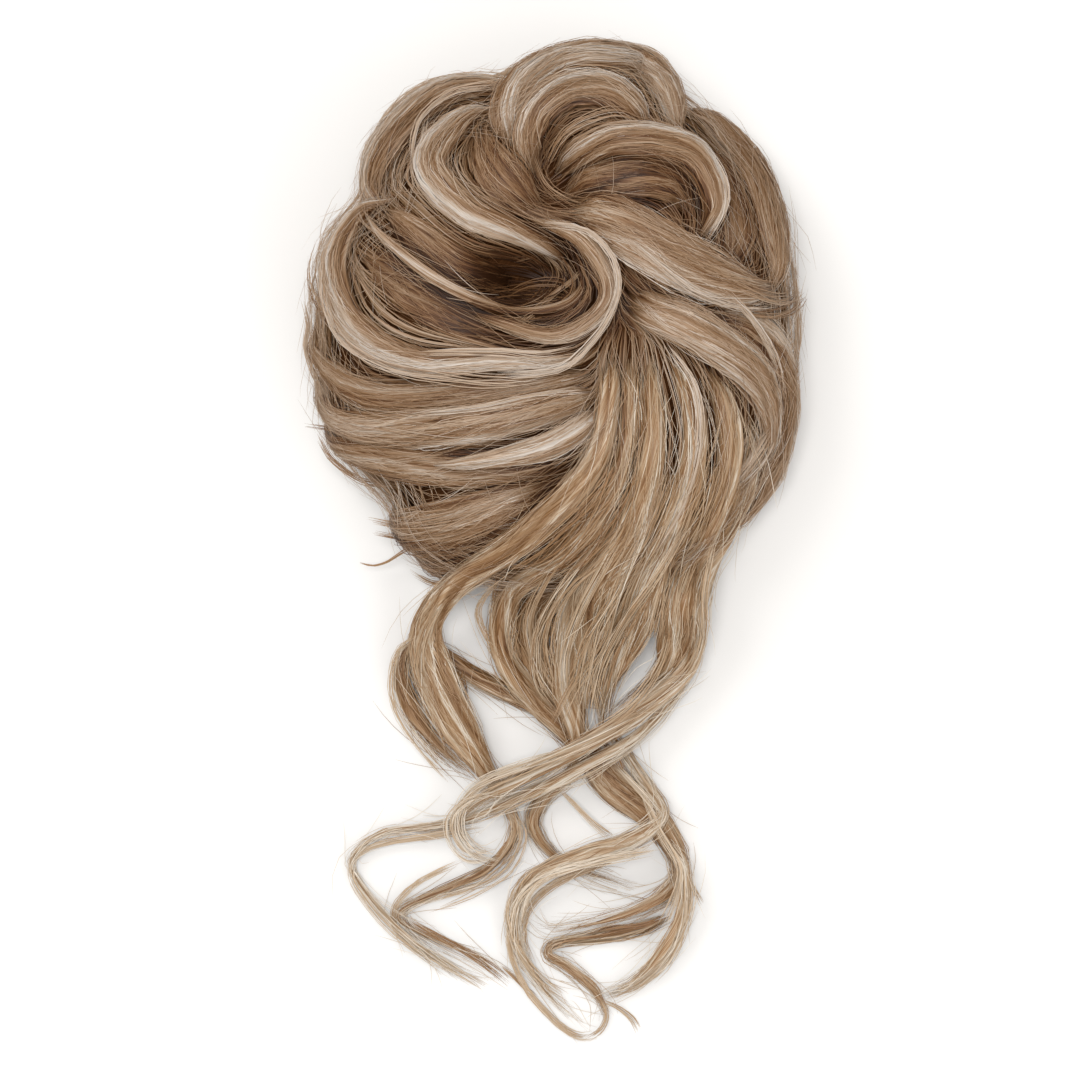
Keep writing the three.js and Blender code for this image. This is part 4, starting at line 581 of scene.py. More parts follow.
# ---------------------------------------------------------------- meshes
class Hair:
    """Collects closed forms into one mesh. Each point has a tone from 0 (deep) to 1 (pale),
    and its lie: millimetres along the hair, millimetres across it, and the lock's own number."""

    def __init__(self):
        self.v, self.nrm, self.f3, self.f4, self.tone, self.lie, self.uv3, self.uv4 = [], [], [], [], [], [], [], []
        self.n = 0
        self.rows = 0

    def tubes(self, path, radius, tone, up, flat=0.6, round_off=0.5):
        """path (n, k, 3), radius (n, k), tone (n, k), up (n, k, 3): n closed three-sided strands,
        flattened across up. Their normals lean from up by round_off, so a lock shades as one
        soft form."""
        sides = 3
        up = np.broadcast_to(up, path.shape)
        keep = np.linalg.norm(np.diff(path, axis=1), axis=-1).max(1) < 12.5
        path, radius, tone, up = path[keep], radius[keep], tone[keep], up[keep]
        n, k, _ = path.shape
        t = unit(np.gradient(path, axis=1))
        side = unit(np.cross(t, up))
        upv = unit(np.cross(side, t))
        a = np.pi / 2 + (np.arange(sides) * 2 * np.pi / sides)[None, None, :] + np.zeros((n, k, 1))
        off = (np.cos(a)[..., None] * side[:, :, None, :] + flat * np.sin(a)[..., None] * upv[:, :, None, :])
        v = path[:, :, None, :] + off * radius[:, :, None, None]
        v[..., 2] = np.maximum(v[..., 2], 0.06)
        self.v.append(v.reshape(-1, 3))
        self.nrm.append(unit(upv[:, :, None, :] + round_off * off).reshape(-1, 3))
        self.tone.append(np.repeat(np.clip(tone, 0, 1)[:, :, None], sides, 2).ravel())
        run = np.concatenate([np.zeros((n, 1)), np.cumsum(np.linalg.norm(np.diff(path, axis=1), axis=-1), 1)], 1)
        lie = np.stack([run + rng.uniform(0, 400, (n, 1)), np.broadcast_to(rng.uniform(0, 900, (n, 1)), (n, k)),
                        np.full((n, k), 7.0)], -1)
        self.lie.append(np.repeat(lie[:, :, None, :], sides, 2).reshape(-1, 3))
        base = self.n + (np.arange(n) * k * sides)[:, None, None]
        i = (np.arange(k - 1) * sides)[None, :, None]
        j = np.arange(sides)[None, None, :]
        j2 = (j + 1) % sides
        q = np.stack([base + i + j, base + i + sides + j, base + i + sides + j2, base + i + j2], -1)
        self.f4.append(q.reshape(-1, 4))
        row = self.rows + np.arange(n)
        u0 = np.broadcast_to((np.arange(k - 1) / (k - 1))[None, :, None], (n, k - 1, sides))
        u1 = np.broadcast_to((np.arange(1, k) / (k - 1))[None, :, None], (n, k - 1, sides))
        r0 = np.broadcast_to(row[:, None, None] + (np.arange(sides) / sides)[None, None, :], (n, k - 1, sides))
        r1 = r0 + 1.0 / sides
        self.uv4.append(np.stack([np.stack([u0, r0], -1), np.stack([u1, r0], -1),
                                  np.stack([u1, r1], -1), np.stack([u0, r1], -1)], -2).reshape(-1, 2))
        b = self.n + np.arange(n) * k * sides
        e = b + (k - 1) * sides
        self.f3.append(np.stack([b, b + 1, b + 2], -1))
        self.f3.append(np.stack([e, e + 2, e + 1], -1))
        for u in (0.0, 1.0):
            uu = np.full(n, u)
            uv = np.stack([np.stack([uu, row + 0.2], -1), np.stack([uu, row + 0.5], -1),
                           np.stack([uu, row + 0.8], -1)], 1)
            self.uv3.append(uv.reshape(-1, 2))
        self.n += n * k * sides
        self.rows += n

    def form(self, v, tone, lie, rows=8.0):
        """v (k, sides, 3): one closed form, rings that run against their direction of travel."""
        k, sides, _ = v.shape
        v = v.copy()
        v[..., 2] = np.maximum(v[..., 2], 0.05)
        b = self.n
        self.v.append(v.reshape(-1, 3))
        ahead = unit(np.gradient(v.mean(1), axis=0))[:, None, :]
        around = np.roll(v, -1, 1) - np.roll(v, 1, 1)
        along = np.gradient(v, axis=0)
        nrm = unit(np.cross(along, around))
        out = v - v.mean(1, keepdims=True)
        nrm = np.where(((nrm * out).sum(-1) < 0)[..., None], -nrm, nrm)
        self.nrm.append(nrm.reshape(-1, 3))
        self.tone.append(np.clip(tone, 0, 1).ravel())
        self.lie.append(lie.reshape(-1, 3))
        i = (np.arange(k - 1) * sides)[:, None]
        j = np.arange(sides)[None, :]
        j2 = (j + 1) % sides
        q = np.stack([b + i + j, b + i + sides + j, b + i + sides + j2, b + i + j2], -1)
        self.f4.append(q.reshape(-1, 4))
        u0 = np.broadcast_to(np.arange(k - 1)[:, None] / (k - 1), (k - 1, sides))
        u1 = np.broadcast_to(np.arange(1, k)[:, None] / (k - 1), (k - 1, sides))
        r0 = np.broadcast_to(self.rows + j * rows / sides, (k - 1, sides))
        r1 = r0 + rows / sides
        self.uv4.append(np.stack([np.stack([u0, r0], -1), np.stack([u1, r0], -1),
                                  np.stack([u1, r1], -1), np.stack([u0, r1], -1)], -2).reshape(-1, 2))
        last = b + (k - 1) * sides
        caps, uvs = [], []
        for c in range(1, sides - 1):
            caps += [[b, b + c, b + c + 1], [last, last + c + 1, last + c]]
            for end in (0.0, 1.0):
                uvs += [(end, self.rows + rows * 0.1), (end, self.rows + rows * 0.5), (end, self.rows + rows * 0.9)]
        self.f3.append(np.array(caps))
        self.uv3.append(np.array(uvs, float))
        self.n += k * sides
        self.rows += rows

    def triangles(self):
        return sum(len(f) for f in self.f3) + 2 * sum(len(f) for f in self.f4)

    def make(self, name, material, nodes=(), slot_name=None):
        v = np.vstack(self.v) * MM
        f4 = np.vstack(self.f4)
        f3 = np.vstack(self.f3)
        me = bpy.data.meshes.new(name)
        me.vertices.add(len(v))
        me.vertices.foreach_set("co", v.astype(np.float32).ravel())
        loops = np.concatenate([f4.ravel(), f3.ravel()])
        me.loops.add(len(loops))
        me.loops.foreach_set("vertex_index", loops.astype(np.int32))
        starts = np.concatenate([np.arange(len(f4)) * 4, len(f4) * 4 + np.arange(len(f3)) * 3])
        me.polygons.add(len(starts))
        me.polygons.foreach_set("loop_start", starts.astype(np.int32))
        me.polygons.foreach_set("use_smooth", np.ones(len(starts), bool))
        uv = np.vstack(self.uv4 + self.uv3)
        layer = me.uv_layers.new(name="OFBake")
        uv = np.stack([0.002 + 0.996 * uv[:, 0], np.clip(uv[:, 1] / float(self.rows), 0, 1)], -1)
        layer.data.foreach_set("uv", uv.astype(np.float32).ravel())
        attr = me.attributes.new("tone", "FLOAT", "POINT")
        attr.data.foreach_set("value", np.concatenate(self.tone).astype(np.float32))
        attr = me.attributes.new("lie", "FLOAT_VECTOR", "POINT")
        attr.data.foreach_set("vector", np.vstack(self.lie).astype(np.float32).ravel())
        me.update(calc_edges=True)
        me.validate()
        if len(me.vertices) == len(v):
            own = me.attributes.new("custom_normal", "FLOAT_VECTOR", "POINT")
            own.data.foreach_set("vector", np.vstack(self.nrm).astype(np.float32).ravel())
        me.materials.append(material)
        ob = bpy.data.objects.new(name, me)
        bpy.context.scene.collection.objects.link(ob)
        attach(ob, "root")
        if nodes:
            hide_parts(*nodes)
        return ob

# ---------------------------------------------------------------- materials
# Hair colours from the deepest shade to the palest streak, as display values 0 to 255: over
# the bun, and the more golden ones of the falls and curls.
SHADES = ((47, 26, 12), (89, 57, 33), (123, 91, 62), (150, 123, 97), (171, 150, 130), (191, 180, 169))
GOLDEN = ((50, 27, 12), (90, 58, 32), (124, 89, 56), (150, 120, 89), (173, 150, 124), (204, 192, 176))


def linear(c):
    c = c / 255.0
    return c / 12.92 if c <= 0.04045 else ((c + 0.055) / 1.055) ** 2.4


def node_material(name, roughness):
    m = bpy.data.materials.new(name)
    m.use_nodes = True
    nt = m.node_tree
    p = nt.nodes["Principled BSDF"]
    p.inputs["Roughness"].default_value = roughness
    return m, nt, p


def math_node(nt, operation, a, b, c=None):
    node = nt.nodes.new("ShaderNodeMath")
    node.operation = operation
    for i, x in enumerate((a, b, c)):
        if x is None:
            continue
        if isinstance(x, (int, float)):
            node.inputs[i].default_value = x
        else:
            nt.links.new(x, node.inputs[i])
    return node.outputs[0]


def streaks(nt, lie, along, across, detail):
    """Noise drawn out along the hair, 0 to 1."""
    stretch = nt.nodes.new("ShaderNodeMapping")
    stretch.inputs["Scale"].default_value = (along, across, 1.0)
    nt.links.new(lie, stretch.inputs["Vector"])
    noise = nt.nodes.new("ShaderNodeTexNoise")
    noise.inputs["Scale"].default_value = 1.0
    noise.inputs["Detail"].default_value = detail
    noise.inputs["Roughness"].default_value = 0.6
    nt.links.new(stretch.outputs["Vector"], noise.inputs["Vector"])
    return noise.outputs["Fac"]


def hair_material(name, shades, fine, bundle, bump, roughness=0.40, gloss=0.2):
    """Tone from the mesh, streaked along the hair: single hairs by fine, small bundles by bundle."""
    m, nt, p = node_material(name, roughness)
    p.inputs["Specular IOR Level"].default_value = gloss
    tone = nt.nodes.new("ShaderNodeAttribute")
    tone.attribute_name = "tone"
    lie = nt.nodes.new("ShaderNodeAttribute")
    lie.attribute_name = "lie"
    hairs = streaks(nt, lie.outputs["Vector"], 0.045, 3.4, 2.0)
    bundles = streaks(nt, lie.outputs["Vector"], 0.028, 0.85, 2.0)
    a = math_node(nt, "SUBTRACT", hairs, 0.5)
    b = math_node(nt, "SUBTRACT", bundles, 0.5)
    t = math_node(nt, "MULTIPLY_ADD", a, fine, tone.outputs["Fac"])
    t = math_node(nt, "MULTIPLY_ADD", b, bundle, t)
    ramp = nt.nodes.new("ShaderNodeValToRGB")
    stops = ramp.color_ramp.elements
    while len(stops) < len(shades):
        stops.new(0.5)
    for i, rgb in enumerate(shades):
        stops[i].position = i / (len(shades) - 1)
        stops[i].color = tuple(linear(c) for c in rgb) + (1.0,)
    nt.links.new(t, ramp.inputs["Fac"])
    nt.links.new(ramp.outputs["Color"], p.inputs["Base Color"])
    if bump:
        node = nt.nodes.new("ShaderNodeBump")
        node.inputs["Strength"].default_value = bump
        node.inputs["Distance"].default_value = 0.00025
        nt.links.new(hairs, node.inputs["Height"])
        nt.links.new(node.outputs["Normal"], p.inputs["Normal"])
    return m


TONES = ("hair_pale", "hair_honey", "hair_brown", "hair_core")
BODY = {k: hair_material(k, SHADES, 1.0, 1.15, 0.5) for k in TONES[:3]}
STRAND = {k: hair_material(k + "_strands", SHADES, 0.30, 0.30, 0.0) for k in TONES[:3]}
# the inner bun shows only in deep shade, where nothing shines
STRAND["hair_core"] = hair_material("hair_core_strands", SHADES, 0.22, 0.22, 0.0, 0.9, 0.0)
FREE_BODY = {k: hair_material(k + "_free", GOLDEN, 1.0, 1.15, 0.5) for k in TONES[:3]}
FREE_STRAND = {k: hair_material(k + "_free_strands", GOLDEN, 0.30, 0.30, 0.0) for k in TONES[:3]}


def elastic_material():
    m, nt, p = node_material("elastic_knit", 0.85)
    place = nt.nodes.new("ShaderNodeTexCoord")
    sep = nt.nodes.new("ShaderNodeSeparateXYZ")
    nt.links.new(place.outputs["Object"], sep.inputs[0])
    turn = math_node(nt, "ARCTAN2", sep.outputs["Y"], sep.outputs["X"])
    wave = math_node(nt, "SINE", math_node(nt, "MULTIPLY", turn, 110.0), 0.0)
    noise = nt.nodes.new("ShaderNodeTexNoise")
    noise.inputs["Scale"].default_value = 900.0
    noise.inputs["Detail"].default_value = 4.0
    nt.links.new(place.outputs["Object"], noise.inputs["Vector"])
    both = math_node(nt, "MULTIPLY_ADD", wave, 0.5, noise.outputs["Fac"])
    ramp = nt.nodes.new("ShaderNodeValToRGB")
    ramp.color_ramp.elements[0].color = (0.045, 0.028, 0.018, 1)
    ramp.color_ramp.elements[1].color = (0.17, 0.115, 0.075, 1)
    nt.links.new(both, ramp.inputs["Fac"])
    nt.links.new(ramp.outputs["Color"], p.inputs["Base Color"])
    bump = nt.nodes.new("ShaderNodeBump")
    bump.inputs["Strength"].default_value = 0.6
    bump.inputs["Distance"].default_value = 0.0004
    nt.links.new(both, bump.inputs["Height"])
    nt.links.new(bump.outputs["Normal"], p.inputs["Normal"])
    return m


# ---------------------------------------------------------------- locks
# A lock's tone across it from its look: its own streaks, with a painted highlight on edges that face out and painted
# shade on sides that face a hollow.
def across_tone(look, acr, s):
    left, mid, right = look[:3]
    acr = np.clip(1.25 * acr, -1, 1)
    if len(look) > 6:
        # its pale edge comes in along the lock, from share look[6] to look[7]
        pale = 0.25 + 0.75 * ease((s - look[6]) / (look[7] - look[6]))
        left = np.where(left > mid, mid + (left - mid) * pale, left)
        right = np.where(right > mid, mid + (right - mid) * pale, right)
    return np.where(acr < 0, mid + (left - mid) * -acr, mid + (right - mid) * acr)


def body_form(route, look):
    """The dense inside of a lock: rings of points, and each point's angle and share."""
    wide = float(np.max(route.w))
    sides = 36 if wide > 10 else 26 if wide > 5 else 16
    k = int(np.clip(route.length / 1.9, 14, 130))
    end = 0.93 if route.free else 0.995
    s = 0.005 + (end - 0.005) * np.linspace(0, 1, k)
    left = (1 - s / end) * route.length
    taper = np.minimum(1, (s * route.length + 0.4) / 4.0)
    taper = taper * np.minimum(1, (left + 0.5) / (26.0 if route.free else 4.0))
    w, h = route.at(s, "w") / 2, route.at(s, "h") / 2
    thin = np.clip(0.52 + (w * 2 - 3.5) / 12.0, 0.46, 1.0) if route.free else 1.0
    a = -np.pi / 2 + 2 * np.pi * (np.arange(sides) + 0.5) / sides
    aa, ss = np.broadcast_to(a[None, :], (k, sides)), np.broadcast_to(s[:, None], (k, sides))
    rid = route.ridge(aa, ss, look[4])
    size = 0.89 * (1 + route.relief * rid) * (taper * thin)[:, None]
    x, y = np.cos(aa) * w[:, None] * size, np.sin(aa) * h[:, None] * size
    v = route.at(s, "p")[:, None, :] + route.at(s, "side")[:, None, :] * x[..., None] + route.at(s, "up")[:, None, :] * y[..., None]
    across = (a + np.pi / 2)[None, :] * ((w + h) / 2)[:, None]
    return v, aa, ss, rid, across


def lock_body(route, look, made, number, hair):
    v, aa, ss, rid, across = made
    # Tone: the lock's look, 0.05 deeper than its strands and deeper in the grooves between clumps than on their crests,
    # which is painted shade, with its own streaks, less the painted shade under its neighbours' tops.
    tone = across_tone(look, np.cos(aa), ss) - 0.05 + 0.07 * rid + 0.09 * route.streak(aa, ss, look[4]) - shadowed(v, 4.0 if route.free else 1.2)
    lie = np.stack([ss * route.length, across + 0.35 * look[4] * ss * route.length, np.full_like(ss, 3.7 * number)], -1)
    hair.form(v, tone, lie)


def lock_strands(route, look, n, hair):
    n = int(n)
    free = route.free
    share = route.shares(9.0, 15.0)
    loose = rng.random(n) < 0.38
    a0 = rng.uniform(-0.99, 0.99, n)
    under = rng.random(n) < (0.30 if free else 0.10)
    ang = np.arccos(a0) * np.where(under, -1, 1)
    ends = 2.5 / route.length
    s0 = rng.uniform(0.0, ends, n)
    s1 = 1 - (np.abs(rng.normal(0, 0.07, n)) if free else rng.uniform(0, ends, n))
    if free:
        # hairs end one by one where the lock narrows
        grid = np.linspace(0, 1, 80)
        wide = route.at(grid, "w")
        peak = int(np.argmax(wide))
        left = np.concatenate([np.ones(peak), np.minimum.accumulate(wide[peak:]) / wide[peak]])
        last = np.array([grid[np.nonzero(left >= q)[0][-1]] for q in rng.uniform(0, 0.85, n)])
        s1 = np.minimum(s1, np.clip(last + rng.normal(0, 0.04, n), 0.35, 1.0))
    part = loose & (rng.random(n) < 0.6)
    s0 = np.where(part, rng.uniform(0, 0.45, n), s0)
    s1 = np.where(part, np.minimum(rng.uniform(0.55, 1.0, n), s1), s1)
    s = s0[:, None] + (s1 - s0)[:, None] * share[None, :]
    waves = route.length / 80.0
    swing = np.where(loose, 0.42, 0.10)[:, None]
    th = ang[:, None] + 2 * np.pi * look[4] * (s - 0.5) + swing * wander(n, s, waves)
    rid = route.ridge(th, s, look[4])
    r = np.where(loose, rng.uniform(0.98, 1.14, n), rng.uniform(0.93, 1.01, n))
    rr = r[:, None] * (1 + route.relief * rid) * (1 + np.where(loose, 0.05, 0.012)[:, None] * wander(n, s, waves * 1.6))
    w, h = route.at(s, "w") / 2, route.at(s, "h") / 2
    side, up = route.at(s, "side"), route.at(s, "up")
    ca, cb = np.cos(th) * rr, np.sin(th) * rr
    if free:
        # a narrow free lock parts into a few bundles, each on its own way
        bundles = route.lobes + 2
        own = rng.integers(0, bundles, n)
        turn = (np.arange(bundles) * 2.4 + rng.uniform(0, 0.8, bundles))[own][:, None] + 2 * np.pi * look[4] * s
        reach = np.sqrt(rng.uniform(0.10, 1.0, bundles))[own][:, None]
        bx, by = reach * np.cos(turn), reach * np.sin(turn)
        for f, amount in ((1.0, 0.20), (2.3, 0.12)):
            rate = f * waves * rng.uniform(0.7, 1.3, (2, bundles))[:, own][..., None]
            at = rng.uniform(0, 1, (2, bundles))[:, own][..., None]
            bx = bx + amount * np.sin(2 * np.pi * (rate[0] * s + at[0]))
            by = by + amount * np.sin(2 * np.pi * (rate[1] * s + at[1]))
        bx = bx + 0.14 * rng.normal(0, 1, (n, 1)) + 0.09 * wander(n, s, waves * 1.3)
        by = by + 0.14 * rng.normal(0, 1, (n, 1)) + 0.09 * wander(n, s, waves * 1.3)
        g = np.clip((10.5 - 2 * w) / 5.0, 0, 1)
        ca, cb = ca * (1 - g) + bx * g, cb * (1 - g) + by * g
        th = np.arctan2(cb, ca)
    # single hairs stand off the edges
    stray = (rng.random(n) < (0.30 if free else 0.18))[:, None] * look[5] * np.abs(wander(n, s, waves))
    a = ca * w + np.sign(np.cos(th)) * stray * 0.7
    b = cb * h + stray * 0.6
    if free:
        tip = np.clip((s - 0.80) / 0.20, 0, 1)
        fan = rng.normal(0, 1.0, n)[:, None]
        a = a * (1 - 0.45 * tip) + 1.7 * look[5] * fan * tip ** 2
        b = b * (1 - 0.4 * tip)
    path = route.at(s, "p") + side * a[..., None] + up * b[..., None]
    path[..., 2] = np.maximum(path[..., 2], 0.3)
    out = unit(side * (0.75 * np.cos(th) * h / np.maximum(w, h))[..., None] + up * (np.abs(np.sin(th)) + 0.15)[..., None])
    u = share[None, :]
    rad = np.where(loose, rng.uniform(0.075, 0.12, n), rng.uniform(0.10, 0.165, n))[:, None]
    rad = rad * np.minimum(1, np.minimum(u / 0.06, (1 - u) / (0.25 if free else 0.08)) + 0.15)
    # Tone: the lock's look with random and streaked colour of its own; 0.06 paler on the clumps' crests and 0.05 paler
    # on loose hairs, which is painted light, less the painted shade under the neighbours' tops.
    tone = across_tone(look, np.clip(np.cos(th), -1, 1), s) + rng.normal(0, 0.09, n)[:, None] + 0.06 * rid
    tone = tone + 0.135 * route.streak(th, s, look[4], 7) + np.where(loose, 0.05, 0.0)[:, None]
    tone = tone - shadowed(path, 5.5 if free else 1.2)
    hair.tubes(path, rad, tone, out)


def fly_hair(route, look, n, hair, reach, lift_tone=0.10):
    """Fine hairs that leave the lock's surface and drift off it."""
    k = 8
    u = np.linspace(0, 1, k)[None, :]
    mid = rng.uniform(0.05, 0.98, n)[:, None]
    half = (rng.uniform(9, 26, n) / route.length)[:, None]
    s = mid + half * (u - 0.35) * np.where(rng.random((n, 1)) < 0.5, 1, -1)
    s = s - np.minimum(s.min(1, keepdims=True), 0) - np.maximum(s.max(1, keepdims=True) - 1, 0)
    low = -0.25 if route.free else 0.12
    th0 = rng.uniform(low, 1 - low, n)[:, None] * np.pi
    th = th0 + rng.normal(0, 0.55, n)[:, None] * u + 0.15 * wander(n, s, 2.0)
    off = reach * np.minimum(rng.gamma(1.6, 0.45, n), 1.5)[:, None] * u ** 1.6 + 0.15
    a = np.cos(th) * (route.at(s, "w") / 2 + off)
    b = np.sin(th) * (route.at(s, "h") / 2 + off * 0.8)
    side, up = route.at(s, "side"), route.at(s, "up")
    path = route.at(s, "p") + side * a[..., None] + up * b[..., None]
    path = path + (rng.normal(0, 1, (n, 1, 3)) * [1, 1, 0.5]) * (0.5 * reach * u ** 2)[..., None]
    path[..., 2] = np.maximum(path[..., 2], 0.3)
    rad = rng.uniform(0.06, 0.095, n)[:, None] * np.minimum(1, (1 - u) / 0.3 + 0.25)
    # the lock's middle tone raised by lift_tone, less painted shade where the hairs lie under the tops
    tone = look[1] + lift_tone + rng.normal(0, 0.10, n)[:, None] - 0.9 * shadowed(path)
    hair.tubes(path, rad, tone, unit(up + 0.3 * side))


routes = {n: Route(n, **d) for n, d in LOCKS.items()}
for n, d in SIDE_LOCKS.items():
    routes[n] = Route(n, side=d)
    LOOKS[n] = (0.52, 0.48, 0.42, 110, 0.06, 1.2)
    SLOTS[n] = "hair_honey"
forms = {n: body_form(r, LOOKS[n]) for n, r in routes.items()}
for v, *_ in forms.values():
    raise_tops(v)
close_tops()

total = {}
groups = {}  # strands, by the material slot of their lock and where they lie
for number, (name, route) in enumerate(routes.items()):
    look = LOOKS[name]
    body = Hair()
    lock_body(route, look, forms[name], number + 1, body)
    body.make("lock_" + name, (FREE_BODY if route.free else BODY)[SLOTS[name]], [name], SLOTS[name])
    total["bodies"] = total.get("bodies", 0) + body.triangles()
    where = "side" if name.startswith("side_lock") else "curls" if route.free else "bun"
    hair = groups.setdefault((SLOTS[name], where), Hair())
    lock_strands(route, look, look[3] * 0.80, hair)
    if route.free:
        fly_hair(route, look, int(route.length / 2.3), hair, 4.2, 0.20)
    else:
        fly_hair(route, look, int(route.length / 5.5), hair, 2.5)

# ---------------------------------------------------------------- fine locks of a few strands
def fine_lock(count, spread, tone, pts, hair):
    r = Route("fine", free=[(x, y, z, 2 * spread, 2 * spread) for x, y, z in pts])
    share = r.shares(7.0, 15.0)
    k = len(share)
    s0 = rng.uniform(0, 0.14, count)[:, None]
    s1 = 1 - np.abs(rng.normal(0, 0.10, count))[:, None]
    s = s0 + (s1 - s0) * share[None, :]
    th = rng.uniform(0, 2 * np.pi, count)[:, None] + 0.7 * wander(count, s, r.length / 90.0)
    rr = np.sqrt(rng.uniform(0.02, 1, count))[:, None] * spread * (0.75 + 0.8 * s ** 2 + 0.25 * wander(count, s, r.length / 60.0))
    path = r.at(s, "p") + r.at(s, "side") * (np.cos(th) * rr)[..., None] + r.at(s, "up") * (np.sin(th) * rr * 0.6)[..., None]
    path[..., 2] = np.maximum(path[..., 2], 0.3)
    rad = rng.uniform(0.08, 0.135, count)[:, None] * np.minimum(1, np.minimum(share, 1 - share)[None, :] / 0.10 + 0.15)
    # each lock's tone with random spread, less half the painted shade under the tops
    t = tone + rng.normal(0, 0.07, count)[:, None] + np.zeros((1, k)) - 0.5 * shadowed(path)
    hair.tubes(path, rad, t, r.at(s, "up"))


fine, fine_free = Hair(), Hair()
for count, spread, tone, pts in FINE_LOCKS:
    fine_lock(int(count * 1.5), spread, tone, pts, fine if pts[len(pts) // 2][1] > -66 else fine_free)


# ---------------------------------------------------------------- strands between neighbouring falls
def veil(name_a, name_b, y_from, y_to, n, tone, hair):
    """Strands that run between two locks which fall side by side, from y_from down to y_to."""
    k = 13
    y = np.linspace(y_from, y_to, k)
    ends = []
    for name in (name_a, name_b):
        r = routes[name]
        i0 = int(np.argmin(np.abs(r.p[:, 1] - y_from) + 0.2 * np.linspace(0, 60, r.m)))
        i1 = i0
        while i1 + 1 < r.m and r.p[i1 + 1, 1] < r.p[i1, 1] and r.p[i1, 1] > y_to:
            i1 += 1
        seg, top = r.p[i0:i1 + 1], r.up[i0:i1 + 1] * (r.h[i0:i1 + 1] * 0.42)[:, None]
        order = np.argsort(seg[:, 1])
        ends.append(np.stack([np.interp(y, seg[order, 1], (seg + top)[order, c]) for c in range(3)], -1))
    u = np.linspace(0, 1, k)[None, :]
    c0 = rng.uniform(0.02, 0.98, n)[:, None]
    c = np.clip(c0 + 0.42 * rng.normal(0, 1, n)[:, None] * (u - 0.5) + 0.06 * wander(n, u.repeat(n, 0), 1.2), 0, 1)
    path = ends[0][None] * (1 - c)[..., None] + ends[1][None] * c[..., None]
    # between the locks the strands hang a little lower; some lie over both
    over = rng.uniform(-3.0, 1.6, n)[:, None]
    path[..., 2] += over * np.sin(np.pi * c) ** 0.5 + 0.5 * wander(n, u.repeat(n, 0), 1.0)
    path[..., 2] = np.maximum(path[..., 2], 0.4)
    rad = rng.uniform(0.10, 0.16, n)[:, None] * np.minimum(1, np.minimum(u, 1 - u) / 0.12 + 0.15)
    # strands that hang lower are deeper in tone, and strands under the tops lose tone too: both painted shade
    t = tone + 0.035 * over + rng.normal(0, 0.10, n)[:, None] - 0.7 * shadowed(path)
    hair.tubes(path, rad, t, np.broadcast_to(np.array([0.0, 0.15, 1.0]), path.shape))


for row in VEILS:
    veil(*row, fine_free)

# ---------------------------------------------------------------- hair between the locks
# Each lock lends its direction, tone and height to the surface near it, so the hair that
# fills the places between them runs the way its neighbours do.
FP, FT, FTONE, FLIFT = [], [], [], []
for name, route in routes.items():
    if name.startswith("side_lock") or not LOCKS.get(name, {}).get("bun"):
        continue
    keep = np.hypot(route.p[:, 0], route.p[:, 1]) < outline(np.degrees(np.arctan2(route.p[:, 1], route.p[:, 0]))) * 0.99
    FP.append(route.p[keep, :2])
    FT.append(unit(route.t[keep, :2]))
    FTONE.append(np.full(keep.sum(), LOOKS[name][1]))
    FLIFT.append(route.p[keep, 2] - crown(route.p[keep, 0], route.p[keep, 1]))
FP, FT, FTONE, FLIFT = np.vstack(FP), np.vstack(FT), np.concatenate(FTONE), np.concatenate(FLIFT)


def field(xy, reach=5.0):
    """Direction (without a sign), tone and lift near points (n, 2)."""
    d2 = ((xy[:, None, :] - FP[None]) ** 2).sum(-1)
    w = np.exp(-d2 / (2 * reach ** 2)) + 1e-4 / (1 + d2)
    c2 = FT[:, 0] ** 2 - FT[:, 1] ** 2
    s2 = 2 * FT[:, 0] * FT[:, 1]
    a = 0.5 * np.arctan2((w * s2).sum(1), (w * c2).sum(1))
    ws = w.sum(1)
    return np.stack([np.cos(a), np.sin(a)], -1), (w * FTONE).sum(1) / ws, (w * FLIFT).sum(1) / ws


def streamlines(start, steps, step, cross=0.0):
    """(n, 2*steps+1, 2) lines through the starts, both ways, turned by cross radians."""
    cs, sn = np.cos(cross), np.sin(cross)
    halves = []
    for sign in (1.0, -1.0):
        p = start.copy()
        d = field(p)[0]
        d = np.stack([d[:, 0] * cs - d[:, 1] * sn, d[:, 0] * sn + d[:, 1] * cs], -1) * sign
        line = []
        for _ in range(steps):
            q = p + d * step * 0.5
            e = field(q)[0]
            e = np.stack([e[:, 0] * cs - e[:, 1] * sn, e[:, 0] * sn + e[:, 1] * cs], -1)
            e *= np.sign((e * d).sum(1, keepdims=True) + 1e-9)
            p = p + e * step
            d = unit(0.6 * d + 0.4 * e)
            line.append(p.copy())
        halves.append(np.stack(line, 1))
    return np.concatenate([halves[1][:, ::-1], start[:, None], halves[0]], 1)


